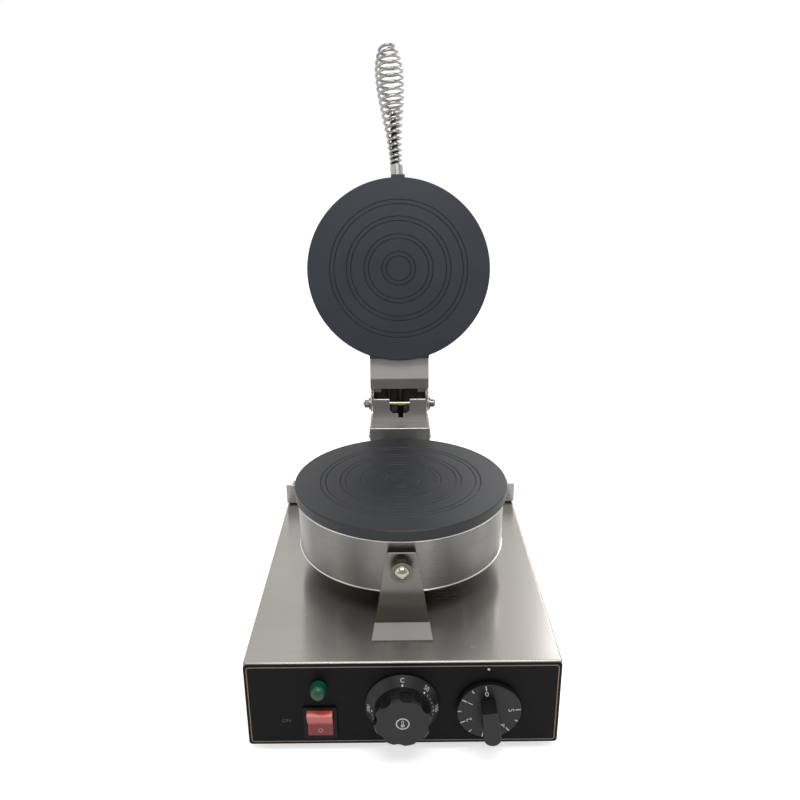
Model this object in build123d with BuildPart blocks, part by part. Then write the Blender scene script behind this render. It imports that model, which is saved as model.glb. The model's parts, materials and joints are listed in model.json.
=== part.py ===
from build123d import *
import math
import os

# Countertop waffle-cone baker with one hinged head, in millimetres.
# +Z is up, -Y is the operator's side. The lid stands open, leaning back on its stop.
# The origin is on the counter, under the middle of the open appliance.

os.makedirs("parts", exist_ok=True)
on_base = (Align.CENTER, Align.CENTER, Align.MIN)

# Base box
base_width = 255.0
base_height = 80.0
front_y = -210.0
drum_front_gap = 56.8
rear_margin = 8.0
sheet = 1.2
bend_radius = 1.5
deck_bend = 2.0
foot_height = 8.0
foot_radius = 11.0
foot_taper = 1.0
foot_recess_radius = 5.0
foot_recess_depth = 4.0
foot_screw_radius = 2.0
foot_screw_head = 3.8
foot_screw_head_height = 2.4
foot_screw_tail = 3.0
foot_hole_gap = 0.1
foot_inset = 22.0
panel_thickness = 1.0
panel_margin = 0.5
panel_drop = 1.0
panel_corner = 3.0
base_plate_gap = 0.3
tab_thickness = 2.0
head_taper = 20.0
recess_reach = 1.2
recess_width = 1.0
recess_share = 0.5
small_nut_across = 8.0
small_nut_thickness = 4.0
bolt_tail = 2.0
overcut = 1.0

# Raised cover at the back of the deck
rear_cover_lead = 1.0
rear_cover_height = 25.0
rear_cover_slope = 42.0
seal_height = 2.5
seal_inset = 3.0
seal_back_inset = 0.5
seal_width = 4.0
rear_inset = 1.0
vent_length = 22.0
vent_width = 3.0
vent_pitch = 9.0
vent_count = 6
vent_x = 82.0
cover_screw_radius = 1.6
cover_screw_head = 3.2
cover_screw_head_height = 1.6
cover_screw_length = 9.0
cover_screw_inset = 4.5
cover_screw_inner_x = 45.0
cover_screw_side_inset = 12.5
base_slot_pitch_x = 30.0
base_slot_pitch_y = 30.0
base_slot_length = 20.0

# Cooking plates and drums
plate_overhang = 3.0
plate_thickness = 9.7
plate_edge = 0.8
ring_radii = (72.8, 54.5, 35.2, 15.9)
ring_half_width = 2.4
groove_half_width = 0.55
groove_depth = 0.7
drum_radius = 96.6
drum_wall = 1.0
drum_height = 52.4
drum_fillet = 2.0
drum_lip = 1.2
drum_gap = 25.3
spigot_gap = 0.3
spigot_width = 4.0
spigot_depth = 3.0
boss_inset = 14.6
boss_radius = 6.0
boss_length = 14.0
boss_start_angle = 45.0
plate_screw_radius = 2.5
plate_screw_hole = 2.8
plate_screw_head = 4.6
plate_screw_head_height = 3.2
element_inset = 34.6
element_radius = 4.0
element_sleeve_radius = 4.8
element_sleeve_top = 1.0
element_gap = 0.1
element_leg = 14.0
element_open_angle = 24.0
insulation_inset = 22.6
insulation_gap = 0.3
insulation_leg_gap = 0.6
tab_width = 15.0
tab_proud = 3.0
shoulder_rise = 4.1
shoulder_fillet = 4.0

# Lid hinge
pin_from_drum = 50.2
pin_z_above_face = 22.7
closed_gap = 1.0
lid_lean = 19.4
pin_radius = 2.5
pin_clearance = 0.05
eye_radius = 9.0
bracket_half_width = 30.0
bracket_sheet = 1.5
bracket_ahead_of_pin = 10.2
bracket_behind_pin = 15.8
bracket_tuck = 30.0
bracket_front_rise = 7.9
lug_radius = 16.7
notch_half_width = 11.0
notch_depth = 16.4
notch_chamfer = 4.0
cable_slot_width = 5.5
cable_slot_depth = 5.0
stop_clearance = 0.25
stop_reach = 5.0
stop_half_width = 28.0
washer_gap = 0.3
washer_radius = 6.5
washer_thickness = 1.5
pin_nut_across = 8.0
pin_nut_thickness = 5.0
pin_tip = 1.6
pin_head_radius = 4.4
pin_head_height = 5.7

# Hinge post on the deck
post_sheet = 2.5
post_ahead_of_bracket = 18.0
post_behind_bracket = 2.0
post_gap = 0.2
post_clearance = 0.3
post_below_pin = 19.1
post_lip = 9.0
post_lip_gap = 3.0
post_flange = 13.0
deck_bolt_radius = 2.5
post_bolt_front_inset = 10.0
post_bolt_back_inset = 12.0
post_cover_thickness = 1.2
post_cover_screw_length = 6.0
post_cover_screw_rows = (15.0, 50.0)
bracket_screw_radius = 2.0
bracket_screw_front_inset = 8.0
bracket_screw_back_inset = 6.0
bracket_screw_drop = 18.0
bracket_screw_length = 8.0
bracket_screw_head = 3.8
bracket_screw_head_height = 2.0

# Lid arm
arm_side_gap = 0.8
arm_sheet = 1.5
arm_front_depth = 11.0
arm_inner_depth = 40.0
arm_lip_depth = 13.0
arm_drum_overlap = 10.0
arm_bend_back = 27.2
arm_bend_end = 16.3
arm_bend_drop = 5.0
arm_screw_radius = 1.5
arm_screw_head = 3.0
arm_screw_head_height = 1.4
arm_screw_length = 6.0
arm_tab = 10.0
arm_tab_distances = (4.4, 31.4)
arm_tab_length = 12.0

# Lid cables
cable_positions = ((-11.7, 2.0), (1.0, 3.25))
cable_behind_pin = 8.8
cable_bottom = 52.0
cable_depth = 26.0
cable_inside = 6.0
cable_bend = 90.0
cable_hole_gap = 0.4
deck_cable_hole = 9.0

# Handle
handle_depth = 25.0
handle_lean = 4.0
ferrule_radius = 7.0
ferrule_reach = 23.2
rod_radius = 3.6
rod_hole_gap = 0.2
rod_reach = 86.0
rod_inside = 12.0
handle_nut_gap = 0.9
handle_nut_thickness = 6.0
coil_length = 133.0
coil_turns = 19
coil_wire = 3.2
coil_points = 12
coil_start_radius = 5.45
coil_full_radius = 14.6
coil_end_radius = 7.0
coil_full_at = 0.754
coil_crowding = 0.36
coil_seat_gap = 0.2

# Front bracket, its stud and the rear conduit
support_foot_width = 50.6
support_fold_width = 46.6
support_top_width = 25.8
support_foot_length = 23.9
support_sheet = 2.0
support_above_stud = 13.4
support_gap = 5.9
support_corner = 3.0
stud_radius = 4.0
stud_across = 13.0
stud_nut_height = 6.5
stud_rise = 4.3
dome_radius = 6.5
dome_height = 4.8
stud_washer_radius = 9.5
stud_washer_thickness = 1.6
spacer_radius = 7.0
stud_hole_gap = 0.2
stud_nut_gap = 0.4
stud_tail = 2.0
support_bolt_x = 15.0
support_bolt_length = 9.0
conduit_radius = 10.0
conduit_wall = 1.5
conduit_nut_across = 26.0
conduit_nut_gap = 1.2
conduit_nut_thickness = 4.0
conduit_tail = 1.0

# Controls
thermostat_x = -0.4
thermostat_height = 39.5
timer_x = 69.4
timer_height = 36.0
timer_rest_turn = 7.0
switch_x = -67.5
switch_height = 22.8
indicator_drop = 22.5
shaft_radius = 3.0
shaft_clearance = 0.05
shaft_hole = 5.0
knob_gap = 0.6
skirt_radius = 30.2
skirt_front_radius = 23.8
skirt_depth = 7.5
skirt_edge = 1.0
grip_radius = 23.0
grip_depth = 13.5
grip_edge = 1.2
flute_radius = 9.0
flute_count = 8
flute_first_angle = 82.0
flute_bite = 2.6
flute_shelf = 3.0
knob_cavity_depth = 4.0
knob_cavity_wall = 4.0
knob_blind = 14.0
knob_boss_radius = 8.0
knob_floor = 1.5
timer_disc_radius = 26.0
timer_disc_depth = 5.0
timer_bar_width = 14.2
timer_bar_top_width = 12.0
timer_bar_above = 11.0
timer_bar_below = 20.5
timer_bar_depth = 15.4
control_screw_x = 14.0
control_screw_radius = 1.9
control_screw_head = 3.4
control_screw_head_height = 1.8
control_screw_length = 8.0
thermostat_body_size = (42.0, 34.0, 34.0)
timer_body_size = (44.0, 36.0, 44.0)
bezel_width = 27.2
bezel_height = 31.0
bezel_proud = 1.8
switch_cutout = (24.0, 29.0)
switch_depth = 26.0
switch_fit = 0.2
rocker_width = 20.8
rocker_radius = 13.2
rocker_gap = 0.3
rocker_pivot_depth = 2.0
rocker_proud = 1.5
rocker_throw = 24.0
rocker_axle_radius = 1.5
rocker_axle_length = 1.0
rocker_back = 3.0
lens_radius = 6.4
lens_barrel = 6.0
indicator_barrel_radius = 4.4
indicator_depth = 22.0
indicator_nut_radius = 7.0
indicator_nut_thickness = 3.0

# Mains side
gland_x = 62.0
gland_z = 40.0
gland_radius = 8.0
gland_bore = 4.2
gland_across = 22.0
gland_flange = 5.0
gland_nose = 12.0
gland_inside = 10.0
gland_nut_thickness = 5.0
earth_x = 90.0
earth_z = 25.0
earth_radius = 2.5
earth_length = 20.0
terminal_size = (62.0, 22.0, 20.0)
terminal_x = 10.0
terminal_y_gap = 38.0
harness_radius = 2.0
harness_bend = 30.0
blade_width = 6.3
blade_thickness = 0.8
blade_length = 8.0
blade_pitch = 12.0

# Derived places
deck_z = foot_height + base_height
plate_radius = drum_radius + plate_overhang
boss_circle = drum_radius - boss_inset
element_ring = drum_radius - element_inset
insulation_radius = drum_radius - insulation_inset
plate_y = front_y + drum_front_gap + drum_radius
pin_y = plate_y + drum_radius + pin_from_drum
bracket_front = pin_y - bracket_ahead_of_pin
bracket_back = pin_y + bracket_behind_pin
post_front = bracket_front - post_ahead_of_bracket
post_back = bracket_back + post_behind_bracket
back_y = post_back + rear_margin
base_depth = back_y - front_y
middle_y = (front_y + back_y) / 2
drum_bottom_z = deck_z + drum_gap
face_z = drum_bottom_z + drum_height + plate_thickness
pin_z = face_z + pin_z_above_face
post_top_z = pin_z - post_below_pin
post_height = post_top_z - deck_z
pin_depth = pin_z_above_face - closed_gap
arm_reach = pin_y - plate_y
drum_end = plate_thickness + drum_height
lean = math.radians(lid_lean)
out_y = math.sin(lean)
out_z = math.cos(lean)
lid_y = pin_y + arm_reach * out_y - pin_depth * out_z
lid_z = pin_z + arm_reach * out_z + pin_depth * out_y
stud_z = drum_bottom_z + drum_height / 2 + stud_rise
cover_front_y = post_front - rear_cover_lead
cover_foot_z = deck_z + seal_height
post_half_width = bracket_half_width + post_gap + post_sheet
arm_inner_half = bracket_half_width + arm_side_gap
arm_outer_half = arm_inner_half + arm_sheet
arm_outer_depth = arm_inner_depth + arm_sheet
cable_y = pin_y + cable_behind_pin
drum_front_y = plate_y - drum_radius
support_back_y = drum_front_y - support_gap
support_front_y = support_back_y - support_sheet
foot_x = base_width / 2 - foot_inset
foot_places = [
    (-foot_x, front_y + foot_inset),
    (foot_x, front_y + foot_inset),
    (-foot_x, back_y - foot_inset),
    (foot_x, back_y - foot_inset),
]
bracket_screw_z = post_top_z - bracket_screw_drop
bracket_screw_places = [
    (bracket_front + bracket_screw_front_inset, bracket_screw_z),
    (bracket_back - bracket_screw_back_inset, bracket_screw_z),
]

# Working planes: the depth of a face plane grows from the cooking face into its drum.
lower_face = Plane(origin=(0, plate_y, face_z), x_dir=(1, 0, 0), z_dir=(0, 0, -1))
upper_face = Plane(origin=(0, lid_y, lid_z), x_dir=(1, 0, 0), z_dir=(0, out_z, -out_y))


def section_plane(face):
    """Plane through a drum's axis: x is the radius, y the depth from the cooking face."""
    return Plane(origin=face.origin, x_dir=face.x_dir, z_dir=-face.y_dir)


def plate_shoulder(radius):
    """Square shoulder at the plate's hinge side, run into the round rim by two fillets."""
    rim_y = math.sqrt(radius**2 - arm_outer_half**2)
    with BuildSketch() as shoulder:
        Circle(radius)
        Rectangle(2 * arm_outer_half, rim_y + shoulder_rise, align=(Align.CENTER, Align.MIN))
        fillet([v for v in shoulder.vertices() if v.Y < rim_y + plate_edge], shoulder_fillet)
    return shoulder.sketch


def cooking_plate(face, tab_side):
    """Cast plate with ring grooves, a register ring and tapped bosses."""
    axis = Axis(face.origin, face.z_dir)
    outline = [(0, 0)]
    for radius in sorted(ring_radii):
        for centre in (radius - ring_half_width, radius + ring_half_width):
            outline.append((centre - groove_half_width, 0))
            outline.append((centre, groove_depth))
            outline.append((centre + groove_half_width, 0))
    spigot_radius = drum_radius - drum_wall - spigot_gap
    outline += [
        (plate_radius - plate_edge, 0),
        (plate_radius, plate_edge),
        (plate_radius, plate_thickness - plate_edge / 2),
        (plate_radius - plate_edge / 2, plate_thickness),
        (spigot_radius, plate_thickness),
        (spigot_radius, plate_thickness + spigot_depth),
        (spigot_radius - spigot_width, plate_thickness + spigot_depth),
        (spigot_radius - spigot_width, plate_thickness),
        (0, plate_thickness),
        (0, 0),
    ]
    with BuildPart() as plate:
        with BuildSketch(section_plane(face)):
            with BuildLine():
                Polyline(*outline)
            make_face()
        revolve(axis=axis)
        with BuildSketch(face.offset(plate_thickness)):
            with PolarLocations(boss_circle, 4, start_angle=boss_start_angle):
                Circle(boss_radius)
        extrude(amount=boss_length)
        with BuildSketch(face.offset(plate_thickness + overcut)):
            with PolarLocations(boss_circle, 4, start_angle=boss_start_angle):
                Circle(plate_screw_radius)
        extrude(amount=boss_length, mode=Mode.SUBTRACT)
        if tab_side:
            with BuildSketch(face.offset(plate_edge)):
                add(plate_shoulder(plate_radius - plate_edge))
                with Locations((0, -plate_radius)):
                    Rectangle(tab_width, 2 * tab_proud)
            extrude(amount=plate_thickness - 2 * plate_edge)
    return plate.part


def drum_shell(face):
    """Spun pan with a rounded foot and a small lip under the plate."""
    inner = drum_radius - drum_wall
    floor = drum_end - drum_wall
    lip = drum_radius + drum_lip
    with BuildPart() as shell:
        with BuildSketch(section_plane(face)):
            with BuildLine():
                Line((0, drum_end), (drum_radius - drum_fillet, drum_end))
                RadiusArc(
                    (drum_radius - drum_fillet, drum_end),
                    (drum_radius, drum_end - drum_fillet),
                    drum_fillet,
                )
                Polyline(
                    (drum_radius, drum_end - drum_fillet),
                    (drum_radius, plate_thickness + 2 * drum_lip),
                    (lip, plate_thickness + drum_lip),
                    (lip, plate_thickness),
                    (inner, plate_thickness),
                    (inner, floor - drum_fillet + drum_wall),
                )
                RadiusArc(
                    (inner, floor - drum_fillet + drum_wall),
                    (inner - drum_fillet + drum_wall, floor),
                    -(drum_fillet - drum_wall),
                )
                Polyline(
                    (inner - drum_fillet + drum_wall, floor),
                    (0, floor),
                    (0, drum_end),
                )
            make_face()
        revolve(axis=Axis(face.origin, face.z_dir))
        with BuildSketch(face.offset(drum_end)):
            with PolarLocations(boss_circle, 4, start_angle=boss_start_angle):
                Circle(plate_screw_hole)
        extrude(amount=-2 * drum_wall, mode=Mode.SUBTRACT)
    return shell.part


def heating_element(face, gap_angle):
    """Ring element with two sleeved ends that go down through the insulation."""
    centre_depth = plate_thickness + element_gap + element_radius
    first_angle = gap_angle + element_open_angle / 2
    with BuildPart() as element:
        with BuildLine(face.offset(centre_depth)) as ring:
            CenterArc((0, 0), element_ring, first_angle, 360 - element_open_angle)
        with BuildSketch(Plane(origin=ring.line @ 0, z_dir=ring.line % 0)):
            Circle(element_radius)
        sweep()
        with BuildSketch(face.offset(centre_depth - element_radius + element_sleeve_top)):
            with PolarLocations(element_ring, 2, first_angle, -element_open_angle, endpoint=True):
                Circle(element_sleeve_radius)
        extrude(amount=element_leg)
    return element.part


def insulation_disc(face, gap_angle):
    """Mineral-wool disc between the element and the drum's floor."""
    top = plate_thickness + element_gap + 2 * element_radius + insulation_gap
    first_angle = gap_angle + element_open_angle / 2
    with BuildPart() as disc:
        with BuildSketch(face.offset(top)):
            Circle(insulation_radius)
            with PolarLocations(element_ring, 2, first_angle, -element_open_angle, endpoint=True):
                Circle(element_sleeve_radius + insulation_leg_gap, mode=Mode.SUBTRACT)
        extrude(amount=drum_end - drum_wall - top)
    return disc.part


def hex_ring(plane, across, bore, thickness, places=((0, 0),)):
    """Plain hexagon nuts on a plane, one for each place."""
    with BuildPart() as ring:
        with BuildSketch(plane):
            with Locations(*places):
                RegularPolygon(across / 2, 6, major_radius=False)
                Circle(bore, mode=Mode.SUBTRACT)
        extrude(amount=thickness)
    return ring.part


def headed_screws(plane, places, shank, length, head, head_height):
    """Cross-recessed screws: heads rise from the plane, shanks go down into it."""
    with BuildPart() as screws:
        with BuildSketch(plane):
            with Locations(*places):
                Circle(head)
        extrude(amount=head_height, taper=head_taper)
        with BuildSketch(plane.offset(head_height)):
            with Locations(*places):
                Rectangle(recess_reach * head, recess_width)
                Rectangle(recess_width, recess_reach * head)
        extrude(amount=-recess_share * head_height, mode=Mode.SUBTRACT)
        with BuildSketch(plane):
            with Locations(*places):
                Circle(shank)
        extrude(amount=-length)
    return screws.part


def keep(part, name):
    """Label a finished piece and write its file."""
    part.label = name
    export_step(part, f"parts/{name}.step")


# Controls' places on the front wall
panel_y = front_y - panel_thickness
panel_front = Plane.XZ.offset(-panel_y)
thermostat_place = (thermostat_x, foot_height + thermostat_height)
timer_place = (timer_x, foot_height + timer_height)
switch_z = foot_height + switch_height
indicator_z = deck_z - indicator_drop
shaft_places = [thermostat_place, timer_place]
control_screw_places = [
    (x + side * control_screw_x, z) for x, z in shaft_places for side in (-1, 1)
]


def control_openings(plane):
    """Openings that the panel and the housing's front wall share."""
    with BuildSketch(plane) as openings:
        with Locations(*shaft_places):
            Circle(shaft_hole)
        with Locations(*control_screw_places):
            Circle(control_screw_radius)
        with Locations((switch_x, switch_z)):
            Rectangle(*switch_cutout)
        with Locations((switch_x, indicator_z)):
            Circle(indicator_barrel_radius)
    return openings.sketch


panel_cut = control_openings(panel_front.offset(overcut))
bolt_x = post_half_width - post_sheet - post_flange / 2
post_bolt_rows = (post_front + post_bolt_front_inset, post_back - post_bolt_back_inset)
post_bolt_places = [(side * bolt_x, y) for side in (-1, 1) for y in post_bolt_rows]
support_bolt_y = support_front_y - support_foot_length / 2
support_bolt_places = [(side * support_bolt_x, support_bolt_y) for side in (-1, 1)]
cable_hole_y = (post_front + post_back) / 2
rear_face = Plane(origin=(0, back_y, 0), x_dir=(-1, 0, 0), z_dir=(0, 1, 0))
cover_back_y = back_y - rear_inset
cover_screw_y = cover_back_y - cover_screw_inset
cover_screw_columns = (cover_screw_inner_x, base_width / 2 - cover_screw_side_inset)
cover_screw_places = [(side * x, cover_screw_y) for side in (-1, 1) for x in cover_screw_columns]

# Base housing: bent box, open underneath, with corner tabs over the feet
with BuildPart() as base_housing:
    with Locations((0, middle_y, foot_height)):
        Box(base_width, base_depth, base_height, align=on_base)
    deck_edges = base_housing.faces().sort_by(Axis.Z)[-1].edges()
    fillet(base_housing.edges().filter_by(Axis.Z) + deck_edges, deck_bend)
    with Locations((0, middle_y, foot_height)):
        Box(
            base_width - 2 * sheet,
            base_depth - 2 * sheet,
            base_height - sheet,
            align=on_base,
            mode=Mode.SUBTRACT,
        )
    with BuildSketch(Plane.XY.offset(foot_height + sheet)):
        with Locations(*foot_places):
            Rectangle(2 * (foot_inset - sheet), 2 * (foot_inset - sheet))
            Circle(foot_screw_radius + foot_hole_gap, mode=Mode.SUBTRACT)
    extrude(amount=tab_thickness)
    extrude(panel_cut, amount=-(overcut + panel_thickness + 2 * sheet), mode=Mode.SUBTRACT)
    with BuildSketch(Plane.XY.offset(deck_z)):
        with Locations(*post_bolt_places):
            Circle(deck_bolt_radius)
        with Locations(*support_bolt_places):
            Circle(deck_bolt_radius)
        with Locations(*cover_screw_places):
            Circle(cover_screw_radius)
        with Locations((0, cable_hole_y)):
            Circle(deck_cable_hole)
    extrude(amount=-2 * sheet, mode=Mode.SUBTRACT)
    with BuildSketch(rear_face):
        with Locations((-gland_x, gland_z)):
            Circle(gland_radius)
        with Locations((-earth_x, earth_z)):
            Circle(earth_radius)
    extrude(amount=-2 * sheet, mode=Mode.SUBTRACT)
keep(base_housing.part, "base_housing")

# Control panel: black sheet over the whole front
panel_height = base_height - panel_margin - panel_drop
with BuildPart() as front_panel:
    with BuildSketch(Plane.XZ.offset(-front_y)):
        with Locations((0, foot_height + panel_margin + panel_height / 2)):
            RectangleRounded(base_width - 2 * panel_margin, panel_height, panel_corner)
    extrude(amount=panel_thickness)
    extrude(panel_cut, amount=-(overcut + 2 * panel_thickness), mode=Mode.SUBTRACT)
keep(front_panel.part, "front_panel")

# Base plate with cooling slots
with BuildPart() as base_plate:
    with BuildSketch(Plane.XY.offset(foot_height)):
        with Locations((0, middle_y)):
            Rectangle(
                base_width - 2 * (sheet + base_plate_gap), base_depth - 2 * (sheet + base_plate_gap)
            )
        with Locations(*foot_places):
            Circle(foot_screw_radius + foot_hole_gap, mode=Mode.SUBTRACT)
        with Locations((0, middle_y)):
            with GridLocations(base_slot_pitch_x, base_slot_pitch_y, 6, 4):
                SlotOverall(base_slot_length, vent_width, mode=Mode.SUBTRACT)
    extrude(amount=sheet)
keep(base_plate.part, "base_plate")

# Rubber feet: tapered, with a recess for the screw's head
with BuildPart() as rubber_feet:
    with BuildSketch(Plane.XY):
        with Locations(*foot_places):
            Circle(foot_radius - foot_taper)
    extrude(amount=foot_height, taper=-math.degrees(math.atan(foot_taper / foot_height)))
    with BuildSketch(Plane.XY):
        with Locations(*foot_places):
            Circle(foot_recess_radius)
    extrude(amount=foot_recess_depth, mode=Mode.SUBTRACT)
    with BuildSketch(Plane.XY):
        with Locations(*foot_places):
            Circle(foot_screw_radius + foot_hole_gap)
    extrude(amount=foot_height, mode=Mode.SUBTRACT)
keep(rubber_feet.part, "rubber_feet")

foot_screw_length = foot_height - foot_recess_depth + sheet + tab_thickness + foot_screw_tail
keep(
    headed_screws(
        Plane.XY.offset(foot_recess_depth),
        foot_places,
        foot_screw_radius,
        -foot_screw_length,
        foot_screw_head,
        -foot_screw_head_height,
    ),
    "foot_screws",
)

# Rear cover: upright front, sloping top and a flat flange, notched for the post
slope_z = cover_foot_z + sheet
cover_top_z = deck_z + rear_cover_height
slope_y = cover_front_y + rear_cover_slope
slope_length = math.hypot(rear_cover_slope, cover_top_z - slope_z)
slope_cos = rear_cover_slope / slope_length
slope_sin = (cover_top_z - slope_z) / slope_length
inner_top_z = cover_top_z - sheet * (1 + slope_sin) / slope_cos
inner_foot_y = slope_y - sheet * (1 / slope_sin)
notch_half = post_half_width + post_clearance
notch_back_y = post_back + post_cover_thickness + post_clearance
with BuildPart() as rear_cover:
    with BuildSketch(Plane.YZ.offset(-base_width / 2)):
        with BuildLine():
            Polyline(
                (cover_front_y, cover_foot_z),
                (cover_front_y, cover_top_z),
                (slope_y, slope_z),
                (cover_back_y, slope_z),
                (cover_back_y, cover_foot_z),
                close=True,
            )
        make_face()
    extrude(amount=base_width)
    fillet(rear_cover.edges().filter_by(Axis.X).sort_by(Axis.Z)[-1], bend_radius)
    with BuildSketch(Plane.YZ.offset(sheet - base_width / 2)):
        with BuildLine():
            Polyline(
                (cover_front_y + sheet, cover_foot_z),
                (cover_front_y + sheet, inner_top_z),
                (inner_foot_y, cover_foot_z),
                close=True,
            )
        make_face()
    extrude(amount=base_width - 2 * sheet, mode=Mode.SUBTRACT)
    with Locations((0, notch_back_y, cover_foot_z)):
        Box(
            2 * notch_half,
            notch_back_y - cover_front_y + overcut,
            2 * rear_cover_height,
            align=(Align.CENTER, Align.MAX, Align.CENTER),
            mode=Mode.SUBTRACT,
        )
    slope_plane = Plane(
        origin=(0, (cover_front_y + slope_y) / 2, (cover_top_z + slope_z) / 2),
        x_dir=(1, 0, 0),
        z_dir=(0, slope_sin, slope_cos),
    )
    with BuildSketch(slope_plane):
        with Locations((-vent_x, 0), (vent_x, 0)):
            with GridLocations(vent_pitch, 0, vent_count, 1):
                SlotOverall(vent_length, vent_width, rotation=90)
    extrude(amount=-2 * sheet, mode=Mode.SUBTRACT)
    with BuildSketch(Plane.XY.offset(slope_z)):
        with Locations(*cover_screw_places):
            Circle(cover_screw_radius)
    extrude(amount=-sheet, mode=Mode.SUBTRACT)
keep(rear_cover.part, "rear_cover")

# Dark seal under the rear cover, set back to leave a shadow line
seal_front_y = cover_front_y + seal_inset
seal_back_y = cover_back_y - seal_back_inset
seal_middle_y = (seal_front_y + seal_back_y) / 2
seal_length = seal_back_y - seal_front_y
with BuildPart() as rear_seal:
    with BuildSketch(Plane.XY.offset(deck_z)):
        with Locations((0, seal_middle_y)):
            Rectangle(base_width - 2 * seal_inset, seal_length)
            Rectangle(
                base_width - 2 * (seal_inset + seal_width),
                seal_length - 2 * seal_width,
                mode=Mode.SUBTRACT,
            )
        with Locations((0, seal_front_y)):
            Rectangle(2 * notch_half, 3 * seal_width, mode=Mode.SUBTRACT)
        with Locations(*cover_screw_places):
            Circle(cover_screw_radius, mode=Mode.SUBTRACT)
    extrude(amount=seal_height)
keep(rear_seal.part, "rear_cover_seal")
# Lower head: plate, pan, element, insulation and screws
plate_screw_length = drum_end - plate_thickness - boss_length / 2
screw_polar = [
    (
        boss_circle * math.cos(math.radians(boss_start_angle + 90 * turn)),
        boss_circle * math.sin(math.radians(boss_start_angle + 90 * turn)),
    )
    for turn in range(4)
]
keep(cooking_plate(lower_face, False), "lower_plate")
keep(heating_element(lower_face, -90), "lower_heating_element")
keep(insulation_disc(lower_face, -90), "lower_insulation")
keep(cooking_plate(upper_face, True), "upper_plate")
keep(heating_element(upper_face, 90), "upper_heating_element")
keep(insulation_disc(upper_face, 90), "upper_insulation")
for name, face in (("lower", lower_face), ("upper", upper_face)):
    keep(
        headed_screws(
            face.offset(drum_end),
            screw_polar,
            plate_screw_radius,
            plate_screw_length,
            plate_screw_head,
            plate_screw_head_height,
        ),
        f"{name}_plate_screws",
    )

# Lower drum: pan with holes for the front stud and the rear conduit
with BuildPart() as lower_drum:
    add(drum_shell(lower_face))
    with BuildSketch(Plane.XZ.offset(-plate_y)):
        with Locations((0, stud_z)):
            Circle(stud_radius + stud_hole_gap)
    extrude(amount=plate_radius, mode=Mode.SUBTRACT)
    with BuildSketch(Plane.XZ.offset(-plate_y)):
        with Locations((0, stud_z)):
            Circle(conduit_radius)
    extrude(amount=-plate_radius, mode=Mode.SUBTRACT)
keep(lower_drum.part, "lower_drum")

# Front support: trapezoid sheet with a forward foot and two weld studs
deck_plane = Plane.XY.offset(deck_z)
with BuildPart() as front_support:
    with BuildSketch(Plane.XZ.offset(-support_front_y)):
        with BuildLine():
            Polyline(
                (-support_fold_width / 2, deck_z),
                (-support_top_width / 2, stud_z + support_above_stud),
                (support_top_width / 2, stud_z + support_above_stud),
                (support_fold_width / 2, deck_z),
                close=True,
            )
        make_face()
    extrude(amount=-support_sheet)
    top_edges = front_support.edges().filter_by(Axis.Y).group_by(Axis.Z)[-1]
    fillet(top_edges, support_corner)
    with BuildSketch(deck_plane):
        with BuildLine():
            Polyline(
                (-support_fold_width / 2, support_back_y),
                (-support_foot_width / 2, support_front_y - support_foot_length),
                (support_foot_width / 2, support_front_y - support_foot_length),
                (support_fold_width / 2, support_back_y),
                close=True,
            )
        make_face()
    extrude(amount=support_sheet)
    with BuildSketch(deck_plane):
        with Locations(*support_bolt_places):
            Circle(deck_bolt_radius)
    extrude(amount=-support_bolt_length)
    with BuildSketch(Plane.XZ.offset(-support_front_y)):
        with Locations((0, stud_z)):
            Circle(stud_radius + stud_hole_gap)
    extrude(amount=-support_sheet, mode=Mode.SUBTRACT)
keep(front_support.part, "front_support_bracket")
keep(
    hex_ring(
        Plane.XY.offset(deck_z - sheet),
        small_nut_across,
        deck_bolt_radius,
        -small_nut_thickness,
        support_bolt_places + post_bolt_places,
    ),
    "deck_nuts",
)

# Drum stud from the pan's inside through spacer, bracket, lock nut and washer to its dome
stud_plane = Plane.XZ.offset(-support_front_y)
stud_front = stud_nut_height + stud_washer_thickness
stud_nut_y = drum_front_y + drum_wall + stud_nut_gap
with BuildPart() as drum_stud:
    with BuildSketch(stud_plane):
        with Locations((0, stud_z)):
            Circle(stud_radius)
    extrude(amount=stud_front)
    with BuildSketch(stud_plane):
        with Locations((0, stud_z)):
            Circle(stud_radius)
    extrude(amount=-(stud_nut_y + stud_nut_height + stud_tail - support_front_y))
keep(drum_stud.part, "drum_stud")
with BuildPart() as drum_spacer:
    with BuildSketch(Plane.XZ.offset(-support_back_y)):
        with Locations((0, stud_z)):
            Circle(spacer_radius)
            Circle(stud_radius, mode=Mode.SUBTRACT)
    extrude(amount=-(support_gap + drum_wall))
    with Locations((0, plate_y, drum_bottom_z)):
        Cylinder(
            drum_radius,
            drum_height,
            align=on_base,
            mode=Mode.SUBTRACT,
        )
keep(drum_spacer.part, "drum_spacer")
with BuildPart() as drum_stud_nuts:
    for nut_plane, nut_height in (
        (Plane.XZ.offset(-stud_nut_y), -stud_nut_height),
        (stud_plane, stud_nut_height),
    ):
        add(hex_ring(nut_plane, stud_across, stud_radius, nut_height, [(0, stud_z)]))
keep(drum_stud_nuts.part, "drum_stud_nuts")
with BuildPart() as stud_washer:
    with BuildSketch(stud_plane.offset(stud_nut_height)):
        with Locations((0, stud_z)):
            Circle(stud_washer_radius)
            Circle(stud_radius, mode=Mode.SUBTRACT)
    extrude(amount=stud_washer_thickness)
keep(stud_washer.part, "stud_washer")
dome_plane = Plane(
    origin=(0, support_front_y - stud_front, stud_z), x_dir=(1, 0, 0), z_dir=(0, -1, 0)
)
sphere_radius = (dome_radius**2 + dome_height**2) / (2 * dome_height)
with BuildPart() as dome_nut:
    with Locations(dome_plane.offset(dome_height - sphere_radius)):
        Sphere(sphere_radius)
    split(bisect_by=dome_plane, keep=Keep.TOP)
keep(dome_nut.part, "dome_nut")

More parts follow.
